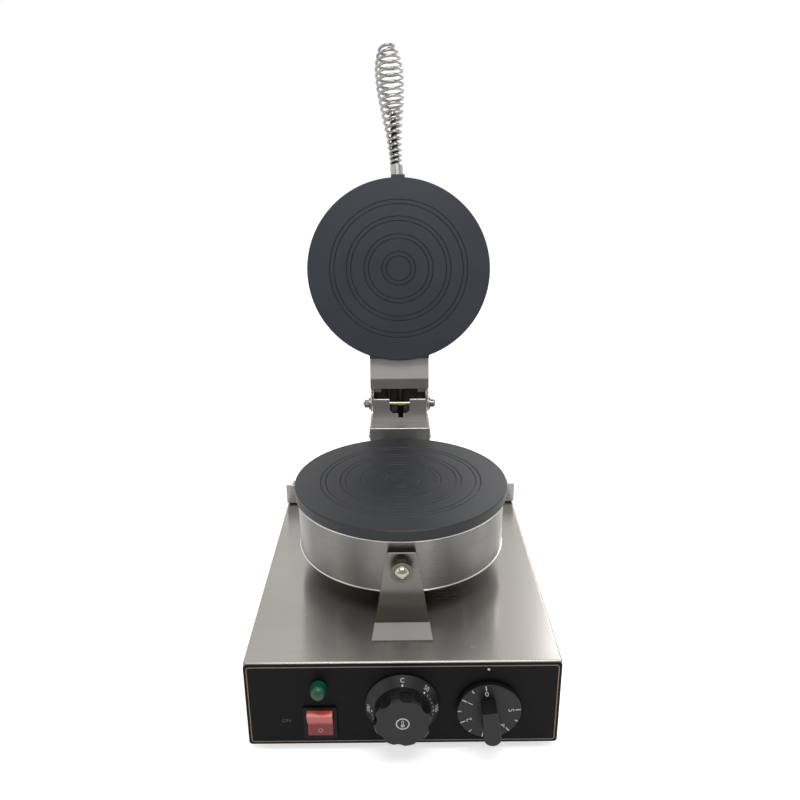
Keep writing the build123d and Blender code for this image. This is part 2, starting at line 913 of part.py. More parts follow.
# Rear conduit: threaded tube that holds the drum to the post and carries its wires
conduit_start_y = plate_y + drum_radius - drum_wall - conduit_nut_gap - conduit_nut_thickness
conduit_end_y = post_front + post_sheet + conduit_nut_thickness + conduit_tail
with BuildPart() as rear_conduit:
    with BuildSketch(Plane.XZ.offset(conduit_tail - conduit_start_y)):
        with Locations((0, stud_z)):
            Circle(conduit_radius)
            Circle(conduit_radius - conduit_wall, mode=Mode.SUBTRACT)
    extrude(amount=-(conduit_end_y - conduit_start_y + conduit_tail))
keep(rear_conduit.part, "rear_conduit")
conduit_nut_starts = (
    conduit_start_y,
    plate_y + drum_radius,
    post_front - conduit_nut_thickness,
    post_front + post_sheet,
)
with BuildPart() as conduit_nuts:
    for start_y in conduit_nut_starts:
        with BuildSketch(Plane.XZ.offset(-start_y)):
            with Locations((0, stud_z)):
                RegularPolygon(conduit_nut_across / 2, 6, major_radius=False)
                Circle(conduit_radius, mode=Mode.SUBTRACT)
        extrude(amount=-conduit_nut_thickness)
keep(conduit_nuts.part, "conduit_nuts")

# Hinge post: channel bolted to the deck, with a ledge round the bracket
post_inner = post_half_width - post_sheet
post_depth = post_back - post_front
post_cover_screw_places = [
    (side * (post_inner - post_lip / 2), deck_z + row)
    for side in (-1, 1)
    for row in post_cover_screw_rows
]
with BuildPart() as hinge_post:
    with Locations((0, (post_front + post_back) / 2, deck_z)):
        Box(
            2 * post_half_width,
            post_depth,
            post_height,
            align=on_base,
        )
    with Locations((0, post_front + post_sheet, deck_z)):
        Box(
            2 * post_inner,
            post_depth,
            post_height - post_sheet,
            align=(Align.CENTER, Align.MIN, Align.MIN),
            mode=Mode.SUBTRACT,
        )
    with Locations((0, bracket_front - post_gap, post_top_z - 2 * post_sheet)):
        Box(
            2 * post_inner,
            post_depth,
            3 * post_sheet,
            align=(Align.CENTER, Align.MIN, Align.MIN),
            mode=Mode.SUBTRACT,
        )
    with BuildSketch(deck_plane):
        for side in (-1, 1):
            with Locations((side * bolt_x, (post_front + post_sheet + post_back) / 2)):
                Rectangle(post_flange, post_depth - post_sheet)
        with Locations(*post_bolt_places):
            Circle(deck_bolt_radius, mode=Mode.SUBTRACT)
    extrude(amount=post_sheet)
    for side in (-1, 1):
        with Locations((side * (post_inner - post_lip / 2), post_back, deck_z)):
            Box(
                post_lip,
                post_sheet,
                post_height - bracket_tuck - post_lip_gap,
                align=(Align.CENTER, Align.MAX, Align.MIN),
            )
    with BuildSketch(Plane.XZ.offset(-post_back)):
        with Locations(*post_cover_screw_places):
            Circle(cover_screw_radius)
    extrude(amount=post_sheet, mode=Mode.SUBTRACT)
    with BuildSketch(Plane.XZ.offset(-post_front)):
        with Locations((0, stud_z)):
            Circle(conduit_radius)
    extrude(amount=-post_sheet, mode=Mode.SUBTRACT)
    with BuildSketch(Plane.YZ.offset(-post_half_width)):
        with Locations(*bracket_screw_places):
            Circle(bracket_screw_radius)
    extrude(amount=2 * post_half_width, mode=Mode.SUBTRACT)
keep(hinge_post.part, "hinge_post")
keep(
    headed_screws(
        Plane.XY.offset(deck_z + post_sheet),
        post_bolt_places,
        deck_bolt_radius,
        post_sheet + sheet + small_nut_thickness + bolt_tail,
        plate_screw_head,
        plate_screw_head_height,
    ),
    "post_bolts",
)
# Post's rear cover: flat sheet on two inward lips
with BuildPart() as post_rear_cover:
    with BuildSketch(Plane.XZ.offset(-post_back)):
        with Locations((0, deck_z + post_height / 2)):
            Rectangle(2 * post_half_width, post_height - 2 * post_clearance)
        with Locations(*post_cover_screw_places):
            Circle(cover_screw_radius, mode=Mode.SUBTRACT)
    extrude(amount=-post_cover_thickness)
keep(post_rear_cover.part, "post_rear_cover")
with BuildPart() as cover_screws:
    add(
        headed_screws(
            Plane.XY.offset(slope_z),
            cover_screw_places,
            cover_screw_radius,
            cover_screw_length,
            cover_screw_head,
            cover_screw_head_height,
        )
    )
    add(
        headed_screws(
            rear_face.offset(post_back + post_cover_thickness - back_y),
            post_cover_screw_places,
            cover_screw_radius,
            post_cover_screw_length,
            cover_screw_head,
            cover_screw_head_height,
        )
    )
keep(cover_screws.part, "cover_screws")

# Hinge bracket: box with round lugs, a notched front and the lid's stop
stop_z = pin_z - (arm_outer_depth - pin_depth) * out_y - stop_clearance
bracket_foot_z = post_top_z - bracket_tuck
bracket_top_z = pin_z + bracket_front_rise
bracket_middle_y = (bracket_front + bracket_back) / 2
bracket_depth = bracket_back - bracket_front
with BuildPart() as hinge_bracket:
    for start_x in (-bracket_half_width, bracket_half_width - bracket_sheet):
        with BuildSketch(Plane.YZ.offset(start_x)):
            with Locations((pin_y, pin_z)):
                Circle(lug_radius)
            with Locations((bracket_middle_y, bracket_foot_z)):
                Rectangle(
                    bracket_depth, stop_z - bracket_foot_z, align=(Align.CENTER, Align.MIN)
                )
            with Locations((bracket_middle_y, bracket_foot_z)):
                Rectangle(
                    bracket_depth,
                    2 * post_height,
                    align=(Align.CENTER, Align.MIN),
                    mode=Mode.INTERSECT,
                )
            with Locations((pin_y, pin_z)):
                Circle(pin_radius + pin_clearance, mode=Mode.SUBTRACT)
        extrude(amount=bracket_sheet)
    with BuildSketch(Plane.XZ.offset(-bracket_front)):
        with Locations((0, bracket_foot_z)):
            Rectangle(
                2 * bracket_half_width,
                bracket_top_z - bracket_foot_z,
                align=(Align.CENTER, Align.MIN),
            )
        with BuildLine():
            Polyline(
                (-notch_half_width, bracket_top_z + 1),
                (-notch_half_width, bracket_top_z - notch_depth + notch_chamfer),
                (-notch_half_width + notch_chamfer, bracket_top_z - notch_depth),
                (notch_half_width - notch_chamfer, bracket_top_z - notch_depth),
                (notch_half_width, bracket_top_z - notch_depth + notch_chamfer),
                (notch_half_width, bracket_top_z + 1),
                close=True,
            )
        make_face(mode=Mode.SUBTRACT)
        with Locations((cable_positions[1][0], bracket_top_z - notch_depth)):
            Rectangle(cable_slot_width, 2 * cable_slot_depth, mode=Mode.SUBTRACT)
    extrude(amount=-bracket_sheet)
    with BuildSketch(Plane.XZ.offset(-bracket_back)):
        with Locations((0, bracket_foot_z)):
            Rectangle(
                2 * bracket_half_width, stop_z - bracket_foot_z, align=(Align.CENTER, Align.MIN)
            )
    extrude(amount=bracket_sheet)
    with Locations((0, bracket_back, stop_z)):
        Box(
            2 * stop_half_width,
            stop_reach,
            bracket_sheet,
            align=(Align.CENTER, Align.MIN, Align.MAX),
        )
    with BuildSketch(Plane.YZ.offset(-bracket_half_width)):
        with Locations(*bracket_screw_places):
            Circle(bracket_screw_radius)
    extrude(amount=2 * bracket_half_width, mode=Mode.SUBTRACT)
keep(hinge_bracket.part, "hinge_bracket")
with BuildPart() as bracket_screws:
    with BuildSketch(Plane.YZ.offset(post_half_width)):
        with Locations(*bracket_screw_places):
            Circle(bracket_screw_head)
    extrude(amount=bracket_screw_head_height)
    with BuildSketch(Plane.YZ.offset(post_half_width)):
        with Locations(*bracket_screw_places):
            Circle(bracket_screw_radius)
    extrude(amount=-bracket_screw_length)
    mirror(about=Plane.YZ)
keep(bracket_screws.part, "bracket_screws")

# Hinge pin with its domed head, washers and nut
washer_x = arm_outer_half + washer_gap
pin_end_x = washer_x + washer_thickness
pin_start_x = -(pin_end_x + pin_nut_thickness + pin_tip)
with BuildPart() as hinge_pin:
    with BuildSketch(Plane.YZ.offset(pin_start_x)):
        with Locations((pin_y, pin_z)):
            Circle(pin_radius)
    extrude(amount=pin_end_x - pin_start_x)
    chamfer(hinge_pin.edges().sort_by(Axis.X)[0], pin_radius / 2)
    with BuildSketch(Plane.YZ.offset(pin_end_x)):
        with Locations((pin_y, pin_z)):
            Circle(pin_head_radius)
    extrude(amount=pin_head_height)
    fillet(hinge_pin.edges().sort_by(Axis.X)[-1], pin_head_radius / 2)
keep(hinge_pin.part, "hinge_pin")
with BuildPart() as hinge_washers:
    for start_x in (-pin_end_x, washer_x):
        with BuildSketch(Plane.YZ.offset(start_x)):
            with Locations((pin_y, pin_z)):
                Circle(washer_radius)
                Circle(pin_radius + pin_clearance, mode=Mode.SUBTRACT)
        extrude(amount=washer_thickness)
keep(hinge_washers.part, "hinge_washers")
keep(
    hex_ring(
        Plane.YZ.offset(-pin_end_x),
        pin_nut_across,
        pin_radius,
        -pin_nut_thickness,
        [(pin_y, pin_z)],
    ),
    "hinge_pin_nut",
)


def arm_plane(x):
    """Side plane of the lid: x runs from the plate's centre to the pin, y is the depth."""
    origin = upper_face.origin + Vector(x, 0, 0)
    return Plane(origin=origin, x_dir=upper_face.y_dir, z_dir=(1, 0, 0))


# Lid arm: folded front sheet with a bend, two side flanges round the pin and inner tabs
arm_start = drum_radius - arm_drum_overlap
arm_tab_rows = [drum_radius + distance for distance in arm_tab_distances]
arm_bend_at = arm_reach - arm_bend_back
arm_end_at = arm_reach - arm_bend_end
arm_end_depth = arm_front_depth + arm_bend_drop
eye_low = pin_depth - eye_radius
arm_screw_places = [
    (side * (arm_inner_half - arm_tab / 2), row) for side in (-1, 1) for row in arm_tab_rows
]
with BuildPart() as lid_hinge_arm:
    with BuildSketch(arm_plane(-arm_outer_half)):
        with BuildLine():
            Polyline(
                (arm_start, arm_front_depth),
                (arm_bend_at, arm_front_depth),
                (arm_end_at, arm_end_depth),
                (arm_end_at, arm_end_depth + arm_sheet),
                (arm_bend_at, arm_front_depth + arm_sheet),
                (arm_start, arm_front_depth + arm_sheet),
                close=True,
            )
        make_face()
    extrude(amount=2 * arm_outer_half)
    for start_x in (-arm_outer_half, arm_inner_half):
        with BuildSketch(arm_plane(start_x)):
            with BuildLine():
                Polyline(
                    (arm_start, arm_front_depth),
                    (arm_bend_at, arm_front_depth),
                    (arm_end_at, arm_end_depth),
                    (arm_reach, eye_low),
                    (arm_reach + eye_radius, pin_depth),
                    (arm_reach, arm_inner_depth),
                    (arm_start, arm_inner_depth),
                    close=True,
                )
            make_face()
            with Locations((arm_reach, pin_depth)):
                Circle(eye_radius)
                Circle(pin_radius + pin_clearance, mode=Mode.SUBTRACT)
        extrude(amount=arm_sheet)
    with BuildSketch(upper_face.offset(arm_inner_depth - arm_sheet)):
        with Locations(*arm_screw_places):
            Rectangle(arm_tab, arm_tab_length)
            Circle(arm_screw_radius, mode=Mode.SUBTRACT)
    extrude(amount=arm_sheet)
    for clear_radius, clear_depth in (
        (drum_radius + drum_lip, arm_lip_depth),
        (drum_radius, arm_outer_depth),
    ):
        with BuildSketch(upper_face):
            Circle(clear_radius)
        extrude(amount=clear_depth, mode=Mode.SUBTRACT)
keep(lid_hinge_arm.part, "lid_hinge_arm")

# Lid arm cover: closes the cable channel behind and meets the stop
with BuildPart() as lid_arm_cover:
    with BuildSketch(upper_face.offset(arm_inner_depth)):
        with Locations((0, arm_start)):
            Rectangle(
                2 * arm_outer_half, arm_reach - arm_start, align=(Align.CENTER, Align.MIN)
            )
        with Locations(*arm_screw_places):
            Circle(arm_screw_radius, mode=Mode.SUBTRACT)
        Circle(drum_radius, mode=Mode.SUBTRACT)
    extrude(amount=arm_sheet)
keep(lid_arm_cover.part, "lid_arm_cover")
keep(
    headed_screws(
        upper_face.offset(arm_outer_depth),
        arm_screw_places,
        arm_screw_radius,
        arm_screw_length,
        arm_screw_head,
        arm_screw_head_height,
    ),
    "lid_arm_screws",
)

# Lid cables: up through the post, behind the pin and along the arm into the drum
cable_turn_y_local = (lid_y + out_z * cable_depth - cable_y) / out_y
cable_turn_z = lid_z - out_z * cable_turn_y_local - out_y * cable_depth
cable_end = drum_radius - cable_inside
cable_end_y = lid_y - out_y * cable_end + out_z * cable_depth
cable_end_z = lid_z - out_z * cable_end - out_y * cable_depth
with BuildPart() as lid_cables:
    for cable_x, cable_radius in cable_positions:
        with BuildLine() as cable_path:
            FilletPolyline(
                (cable_x, cable_y, deck_z + cable_bottom),
                (cable_x, cable_y, cable_turn_z),
                (cable_x, cable_end_y, cable_end_z),
                radius=cable_bend,
            )
        with BuildSketch(Plane(origin=cable_path.line @ 0, z_dir=cable_path.line % 0)):
            Circle(cable_radius)
        sweep()
keep(lid_cables.part, "lid_cables")

# Upper drum: pan with cable holes towards the hinge and a hole for the handle rod
handle_tilt = math.radians(handle_lean)
handle_axis = (
    -math.sin(handle_tilt) * upper_face.x_dir - math.cos(handle_tilt) * upper_face.y_dir
)
handle_origin = (
    upper_face.origin - drum_radius * upper_face.y_dir + handle_depth * upper_face.z_dir
)
handle_root = Plane(origin=handle_origin, x_dir=upper_face.z_dir, z_dir=handle_axis)
hinge_side = Plane(origin=upper_face.origin, x_dir=(-1, 0, 0), z_dir=upper_face.y_dir)
with BuildPart() as upper_drum:
    add(drum_shell(upper_face))
    for cable_x, cable_radius in cable_positions:
        with BuildSketch(hinge_side):
            with Locations((-cable_x, cable_depth)):
                Circle(cable_radius + cable_hole_gap)
        extrude(amount=plate_radius, mode=Mode.SUBTRACT)
    with BuildSketch(handle_root.offset(-rod_inside)):
        Circle(rod_radius + rod_hole_gap)
    extrude(amount=2 * rod_inside, mode=Mode.SUBTRACT)
keep(upper_drum.part, "upper_drum")

# Handle: ferrule, rod with its nut, and a barrel-shaped coil
with BuildPart() as handle_ferrule:
    with BuildSketch(handle_root.offset(-ferrule_radius)):
        Circle(ferrule_radius)
        Circle(rod_radius, mode=Mode.SUBTRACT)
    extrude(amount=ferrule_reach + ferrule_radius)
    with Locations(upper_face):
        Cylinder(
            drum_radius,
            drum_end,
            align=on_base,
            mode=Mode.SUBTRACT,
        )
    fillet(handle_ferrule.edges().filter_by(GeomType.CIRCLE).sort_by(Axis.Z)[-1], plate_edge)
keep(handle_ferrule.part, "handle_ferrule")
with BuildPart() as handle_rod:
    with BuildSketch(handle_root.offset(-rod_inside)):
        Circle(rod_radius)
    extrude(amount=rod_inside + rod_reach)
    chamfer(handle_rod.edges().sort_by(Axis.Z)[-1], rod_radius / 4)
keep(handle_rod.part, "handle_rod")
keep(
    hex_ring(
        handle_root.offset(-drum_wall - handle_nut_gap),
        stud_across,
        rod_radius,
        -handle_nut_thickness,
    ),
    "handle_nut",
)


def coil_radius(share):
    """Radius of the coil's centre line at a share of its length, from the ferrule."""
    if share < coil_full_at:
        rise = (1 - math.cos(math.pi * share / coil_full_at)) / 2
        return coil_start_radius + (coil_full_radius - coil_start_radius) * rise
    past = (share - coil_full_at) / (1 - coil_full_at)
    return coil_full_radius - (coil_full_radius - coil_end_radius) * past**2


coil_steps = coil_turns * coil_points
coil_line = []
for step in range(coil_steps + 1):
    travel = step / coil_steps
    share = travel * (1 - coil_crowding * (1 - travel) ** 3)
    angle = 2 * math.pi * step / coil_points
    radius = coil_radius(share)
    coil_line.append(
        (radius * math.cos(angle), radius * math.sin(angle), coil_length * share)
    )
coil_seat = handle_root.offset(ferrule_reach + coil_wire / 2 + coil_seat_gap)
with BuildPart() as handle_coil:
    with BuildLine(coil_seat) as coil_path:
        Spline(*coil_line)
    with BuildSketch(Plane(origin=coil_path.line @ 0, z_dir=coil_path.line % 0)):
        Circle(coil_wire / 2)
    sweep(is_frenet=True)
keep(handle_coil.part, "handle_coil")


def knob_section(x, z):
    """Plane through a knob's axis: x is the radius, y the distance towards the operator."""
    return Plane(origin=(x, panel_y - knob_gap, z), x_dir=(1, 0, 0), z_dir=(0, 0, -1))


def knob_seat(x, z):
    """Plane of a knob's back, facing the operator."""
    return Plane(origin=(x, panel_y - knob_gap, z), x_dir=(1, 0, 0), z_dir=(0, -1, 0))


# Temperature knob: conical dial skirt and a fluted grip
knob_front = skirt_depth + grip_depth
thermostat_seat = knob_seat(*thermostat_place)
with BuildPart() as temperature_knob:
    with BuildSketch(knob_section(*thermostat_place)):
        with BuildLine():
            Polyline(
                (0, 0),
                (skirt_radius, 0),
                (skirt_radius, skirt_edge),
                (skirt_front_radius, skirt_depth),
                (grip_radius, skirt_depth),
                (grip_radius, knob_front - grip_edge),
                (grip_radius - grip_edge, knob_front),
                (0, knob_front),
                close=True,
            )
        make_face()
    revolve(axis=Axis(thermostat_seat.origin, thermostat_seat.z_dir))
    with BuildSketch(thermostat_seat.offset(skirt_depth + flute_shelf)):
        with PolarLocations(grip_radius + flute_radius - flute_bite, flute_count, flute_first_angle):
            Circle(flute_radius)
    extrude(amount=grip_depth, mode=Mode.SUBTRACT)
    with BuildSketch(thermostat_seat):
        Circle(skirt_radius - knob_cavity_wall)
        Circle(knob_boss_radius, mode=Mode.SUBTRACT)
    extrude(amount=knob_cavity_depth, mode=Mode.SUBTRACT)
    with BuildSketch(thermostat_seat):
        Circle(shaft_radius)
    extrude(amount=knob_blind, mode=Mode.SUBTRACT)
keep(temperature_knob.part, "temperature_knob")

# Timer knob: flat disc and a tapered bar grip that points down, just past its end stop
timer_seat = Plane(knob_seat(*timer_place).location * Rotation(0, 0, timer_rest_turn))
bar_end = timer_bar_width / 2 - timer_bar_below
with BuildPart() as timer_knob:
    with BuildSketch(timer_seat):
        Circle(timer_disc_radius)
    extrude(amount=timer_disc_depth)
    chamfer(timer_knob.edges().group_by(Axis.Y)[0], plate_edge)
    with BuildSketch(timer_seat.offset(timer_disc_depth)):
        with BuildLine():
            Polyline(
                (-timer_bar_width / 2, bar_end),
                (-timer_bar_top_width / 2, timer_bar_above),
                (timer_bar_top_width / 2, timer_bar_above),
                (timer_bar_width / 2, bar_end),
            )
            ThreePointArc(
                (timer_bar_width / 2, bar_end),
                (0, -timer_bar_below),
                (-timer_bar_width / 2, bar_end),
            )
        make_face()
    extrude(amount=timer_bar_depth)
    fillet(timer_knob.faces().sort_by(Axis.Y)[0].edges(), plate_edge)
    with BuildSketch(timer_seat):
        Circle(timer_disc_radius - knob_cavity_wall)
        Circle(knob_boss_radius, mode=Mode.SUBTRACT)
    extrude(amount=timer_disc_depth - knob_floor, mode=Mode.SUBTRACT)
    with BuildSketch(timer_seat):
        Circle(shaft_radius)
    extrude(amount=knob_blind, mode=Mode.SUBTRACT)
keep(timer_knob.part, "timer_knob")

# Thermostat and timer: bodies behind the wall, shafts out to the knobs
wall_back_y = front_y + sheet
for name, place, body_size in (
    ("thermostat", thermostat_place, thermostat_body_size),
    ("timer", timer_place, timer_body_size),
):
    body_width, body_depth, body_height = body_size
    wall_plane = Plane.XZ.offset(-wall_back_y)
    with BuildPart() as control_body:
        with BuildSketch(wall_plane):
            with Locations(place):
                Rectangle(body_width, body_height)
        extrude(amount=-body_depth)
        fillet(control_body.edges().filter_by(Axis.Y), bend_radius)
        with BuildSketch(wall_plane):
            with Locations(place):
                Circle(shaft_radius + shaft_clearance)
        extrude(amount=-body_depth / 2, mode=Mode.SUBTRACT)
        with BuildSketch(wall_plane):
            with Locations(place):
                with GridLocations(2 * control_screw_x, 0, 2, 1):
                    Circle(control_screw_radius)
        extrude(amount=-control_screw_length, mode=Mode.SUBTRACT)
        with BuildSketch(Plane.XZ.offset(-wall_back_y - body_depth)):
            with Locations(place):
                with GridLocations(blade_pitch, 0, 2, 1):
                    Rectangle(blade_thickness, blade_width)
        extrude(amount=-blade_length)
    keep(control_body.part, f"{name}_body")
    with BuildPart() as control_shaft:
        with BuildSketch(knob_seat(*place).offset(knob_blind)):
            Circle(shaft_radius)
        extrude(amount=-(knob_blind + knob_gap + panel_thickness + sheet + body_depth / 2))
    keep(control_shaft.part, f"{name}_shaft")
keep(
    headed_screws(
        panel_front,
        control_screw_places,
        control_screw_radius,
        panel_thickness + sheet + control_screw_length,
        control_screw_head,
        control_screw_head_height,
    ),
    "control_screws",
)

# Power switch: black frame and body with a round cavity, red rocker on two axles
pivot_y = panel_y + rocker_pivot_depth
cavity_half = rocker_width / 2 + rocker_gap
with BuildPart() as switch_body:
    with BuildSketch(panel_front):
        with Locations((switch_x, switch_z)):
            RectangleRounded(bezel_width, bezel_height, bend_radius)
    extrude(amount=bezel_proud)
    with BuildSketch(panel_front):
        with Locations((switch_x, switch_z)):
            Rectangle(switch_cutout[0] - 2 * switch_fit, switch_cutout[1] - 2 * switch_fit)
    extrude(amount=-switch_depth)
    with BuildSketch(Plane.XZ.offset(-panel_y - switch_depth)):
        with Locations((switch_x, switch_z)):
            with GridLocations(0, blade_pitch * 2 / 3, 1, 3):
                Rectangle(blade_width, blade_thickness)
    extrude(amount=-blade_length)
    with BuildSketch(Plane.YZ.offset(switch_x - cavity_half)):
        with Locations((pivot_y, switch_z)):
            Circle(rocker_radius + rocker_gap)
    extrude(amount=2 * cavity_half, mode=Mode.SUBTRACT)
    with BuildSketch(Plane.YZ.offset(switch_x - switch_cutout[0])):
        with Locations((pivot_y, switch_z)):
            Circle(rocker_axle_radius + shaft_clearance)
    extrude(amount=2 * switch_cutout[0], mode=Mode.SUBTRACT)
keep(switch_body.part, "switch_body")

low_reach = rocker_pivot_depth + rocker_proud
low_angle = -math.acos(low_reach / rocker_radius)
high_angle = -math.radians(rocker_throw) - low_angle
back_angle = math.pi / 2 + math.asin(rocker_back / rocker_radius)
fold_drop = low_reach * math.tan(math.radians(rocker_throw / 2))


def rocker_point(angle):
    """Point on the rocker's round ends, in the side plane."""
    return (
        pivot_y - rocker_radius * math.cos(angle),
        switch_z + rocker_radius * math.sin(angle),
    )


with BuildPart() as power_rocker:
    with BuildSketch(Plane.YZ.offset(switch_x - rocker_width / 2)):
        with BuildLine():
            Polyline(
                rocker_point(low_angle),
                (pivot_y - low_reach, switch_z - fold_drop),
                rocker_point(high_angle),
            )
            ThreePointArc(
                rocker_point(high_angle),
                rocker_point((high_angle + back_angle) / 2),
                rocker_point(back_angle),
            )
            Line(rocker_point(back_angle), rocker_point(-back_angle))
            ThreePointArc(
                rocker_point(-back_angle),
                rocker_point((low_angle - back_angle) / 2),
                rocker_point(low_angle),
            )
        make_face()
    extrude(amount=rocker_width)
    with BuildSketch(Plane.YZ.offset(switch_x - rocker_width / 2 - rocker_axle_length)):
        with Locations((pivot_y, switch_z)):
            Circle(rocker_axle_radius)
    extrude(amount=rocker_width + 2 * rocker_axle_length)
keep(power_rocker.part, "power_rocker")

# Indicator: domed lens in front, barrel and ring nut behind
lens_plane = Plane(origin=(switch_x, panel_y, indicator_z), x_dir=(1, 0, 0), z_dir=(0, -1, 0))
with BuildPart() as indicator_lens:
    with BuildSketch(lens_plane):
        Circle(lens_radius)
    extrude(amount=lens_barrel)
    with Locations(lens_plane.offset(lens_barrel)):
        Sphere(lens_radius, arc_size1=0, arc_size2=90, align=on_base)
keep(indicator_lens.part, "indicator_lens")
with BuildPart() as indicator_body:
    with BuildSketch(lens_plane):
        Circle(indicator_barrel_radius)
    extrude(amount=-indicator_depth)
    with BuildSketch(lens_plane.offset(-panel_thickness - sheet)):
        Circle(indicator_nut_radius)
    extrude(amount=-indicator_nut_thickness)
keep(indicator_body.part, "indicator_body")

# Mains inlet: gland with its nut, earth stud with two nuts, terminal block
with BuildPart() as cord_gland:
    with BuildSketch(rear_face):
        with Locations((-gland_x, gland_z)):
            RegularPolygon(gland_across / 2, 6, major_radius=False)
    extrude(amount=gland_flange)
    with BuildSketch(rear_face):
        with Locations((-gland_x, gland_z)):
            Circle(gland_radius)
    extrude(amount=gland_nose)
    with BuildSketch(rear_face):
        with Locations((-gland_x, gland_z)):
            Circle(gland_radius)
    extrude(amount=-gland_inside)
    fillet(cord_gland.faces().sort_by(Axis.Y)[-1].edges(), bend_radius)
    with BuildSketch(rear_face.offset(gland_nose)):
        with Locations((-gland_x, gland_z)):
            Circle(gland_bore)
    extrude(amount=-(gland_nose + gland_inside), mode=Mode.SUBTRACT)
keep(cord_gland.part, "cord_gland")
keep(
    hex_ring(
        rear_face.offset(-sheet),
        gland_across,
        gland_radius,
        -gland_nut_thickness,
        [(-gland_x, gland_z)],
    ),
    "gland_nut",
)
with BuildPart() as earth_stud:
    with BuildSketch(rear_face.offset(earth_length / 2)):
        with Locations((-earth_x, earth_z)):
            Circle(earth_radius)
    extrude(amount=-earth_length)
keep(earth_stud.part, "earth_stud")
with BuildPart() as earth_nuts:
    for nut_start, nut_grow in ((0, small_nut_thickness), (-sheet, -small_nut_thickness)):
        with BuildSketch(rear_face.offset(nut_start)):
            with Locations((-earth_x, earth_z)):
                RegularPolygon(small_nut_across / 2, 6, major_radius=False)
                Circle(earth_radius, mode=Mode.SUBTRACT)
        extrude(amount=nut_grow)
keep(earth_nuts.part, "earth_nuts")

terminal_width, terminal_depth, terminal_height = terminal_size
terminal_y = back_y - terminal_y_gap
floor_z = foot_height + sheet
with BuildPart() as terminal_block:
    with Locations((terminal_x, terminal_y, floor_z)):
        Box(*terminal_size, align=on_base)
    with BuildSketch(Plane.XY.offset(floor_z + terminal_height)):
        with Locations((terminal_x, terminal_y)):
            with GridLocations(terminal_width / 5, terminal_depth / 2, 5, 2):
                Circle(shaft_radius)
    extrude(amount=-terminal_height / 2, mode=Mode.SUBTRACT)
keep(terminal_block.part, "terminal_block")

# Wiring harness on the base plate: from the terminal block to each control
harness_z = floor_z + harness_radius + shaft_clearance
harness_start_y = terminal_y - terminal_depth / 2
switch_back_y = panel_y + switch_depth + blade_length
harness_ends = (
    (thermostat_x, wall_back_y + thermostat_body_size[1] + blade_length, thermostat_place[1], 0),
    (timer_x, wall_back_y + timer_body_size[1] + blade_length, timer_place[1], 1),
    (switch_x, switch_back_y, switch_z, -1),
)
with BuildPart() as wiring_harness:
    for end_x, end_y, end_z, lane in harness_ends:
        lane_x = terminal_x + lane * terminal_width / 3
        with BuildLine() as harness_path:
            FilletPolyline(
                (lane_x, harness_start_y, harness_z),
                (lane_x, harness_start_y - harness_bend, harness_z),
                (end_x, end_y + 2 * harness_bend, harness_z),
                (end_x, end_y + harness_bend, end_z),
                (end_x, end_y, end_z),
                radius=harness_bend / 2,
            )
        with BuildSketch(Plane(origin=harness_path.line @ 0, z_dir=harness_path.line % 0)):
            Circle(harness_radius)
        sweep()
keep(wiring_harness.part, "wiring_harness")
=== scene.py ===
"""Looks of a countertop waffle-cone baker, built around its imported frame."""
import json
import logging
import math
from dataclasses import dataclass, field
from enum import Enum
from typing import Callable, Dict, List, Optional, Protocol, Sequence, Tuple

import bpy
from mathutils import Matrix, Vector


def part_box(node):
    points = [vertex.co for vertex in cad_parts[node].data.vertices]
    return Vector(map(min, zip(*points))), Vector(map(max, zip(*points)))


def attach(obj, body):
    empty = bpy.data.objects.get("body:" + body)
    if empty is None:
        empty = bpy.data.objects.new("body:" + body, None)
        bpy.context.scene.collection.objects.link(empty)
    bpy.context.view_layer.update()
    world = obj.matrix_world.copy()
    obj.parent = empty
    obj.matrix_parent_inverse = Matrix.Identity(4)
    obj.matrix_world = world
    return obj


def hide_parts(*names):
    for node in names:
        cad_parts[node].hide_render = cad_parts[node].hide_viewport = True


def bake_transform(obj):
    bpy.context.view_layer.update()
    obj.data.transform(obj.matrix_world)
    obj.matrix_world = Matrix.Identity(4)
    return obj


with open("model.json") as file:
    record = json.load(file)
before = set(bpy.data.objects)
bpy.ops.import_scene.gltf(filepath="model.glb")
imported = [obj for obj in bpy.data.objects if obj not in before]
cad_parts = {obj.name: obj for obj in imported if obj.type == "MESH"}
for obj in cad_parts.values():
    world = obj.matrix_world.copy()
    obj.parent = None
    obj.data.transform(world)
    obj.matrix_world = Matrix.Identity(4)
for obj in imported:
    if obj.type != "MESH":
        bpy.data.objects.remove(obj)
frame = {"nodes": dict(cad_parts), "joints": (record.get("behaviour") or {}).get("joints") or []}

logging.basicConfig(level=logging.INFO, format="%(name)s: %(message)s")
log = logging.getLogger("cone_baker")

Colour = Tuple[float, float, float]
Point2 = Tuple[float, float]
Point3 = Tuple[float, float, float]
Solid = Tuple[List[Point3], List[List[int]]]
Place = Callable[[Point3], Vector]
Socket = bpy.types.NodeSocket

MM = 0.001
RIGHT: Point3 = (1.0, 0.0, 0.0)
BACK: Point3 = (0.0, 1.0, 0.0)
UP: Point3 = (0.0, 0.0, 1.0)
# Sockets of the Mix node: two colours and their mix, two vectors and their mix.
MIX_COLOURS, MIXED_COLOUR = (6, 7), 2
MIX_VECTORS, MIXED_VECTOR = (4, 5), 1
# Rays that soften the hard edges of a material.
EDGE_SAMPLES = 4
# Share of a bead's domed end that is round; the tip is capped flat.
DOME_SHARE = 0.98
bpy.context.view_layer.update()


class Body(Enum):
    """Bodies that a piece can ride on."""

    BASE = "base"
    LID = "lid"
    TEMPERATURE = "temperature_dial"
    TIMER = "timer_dial"
    ROCKER = "rocker"


class Slot(Enum):
    """Material slots of the record."""

    PRINT = "terminal_plastic"
    LINE = "brass_parts"
    STEEL = "brushed_steel"
    SHEATH = "cable_sheath"


class Grain(Enum):
    """Direction of the polishing lines on a steel sheet."""

    ACROSS = "across"
    ROUND = "round"
    LENGTHWISE = "lengthwise"


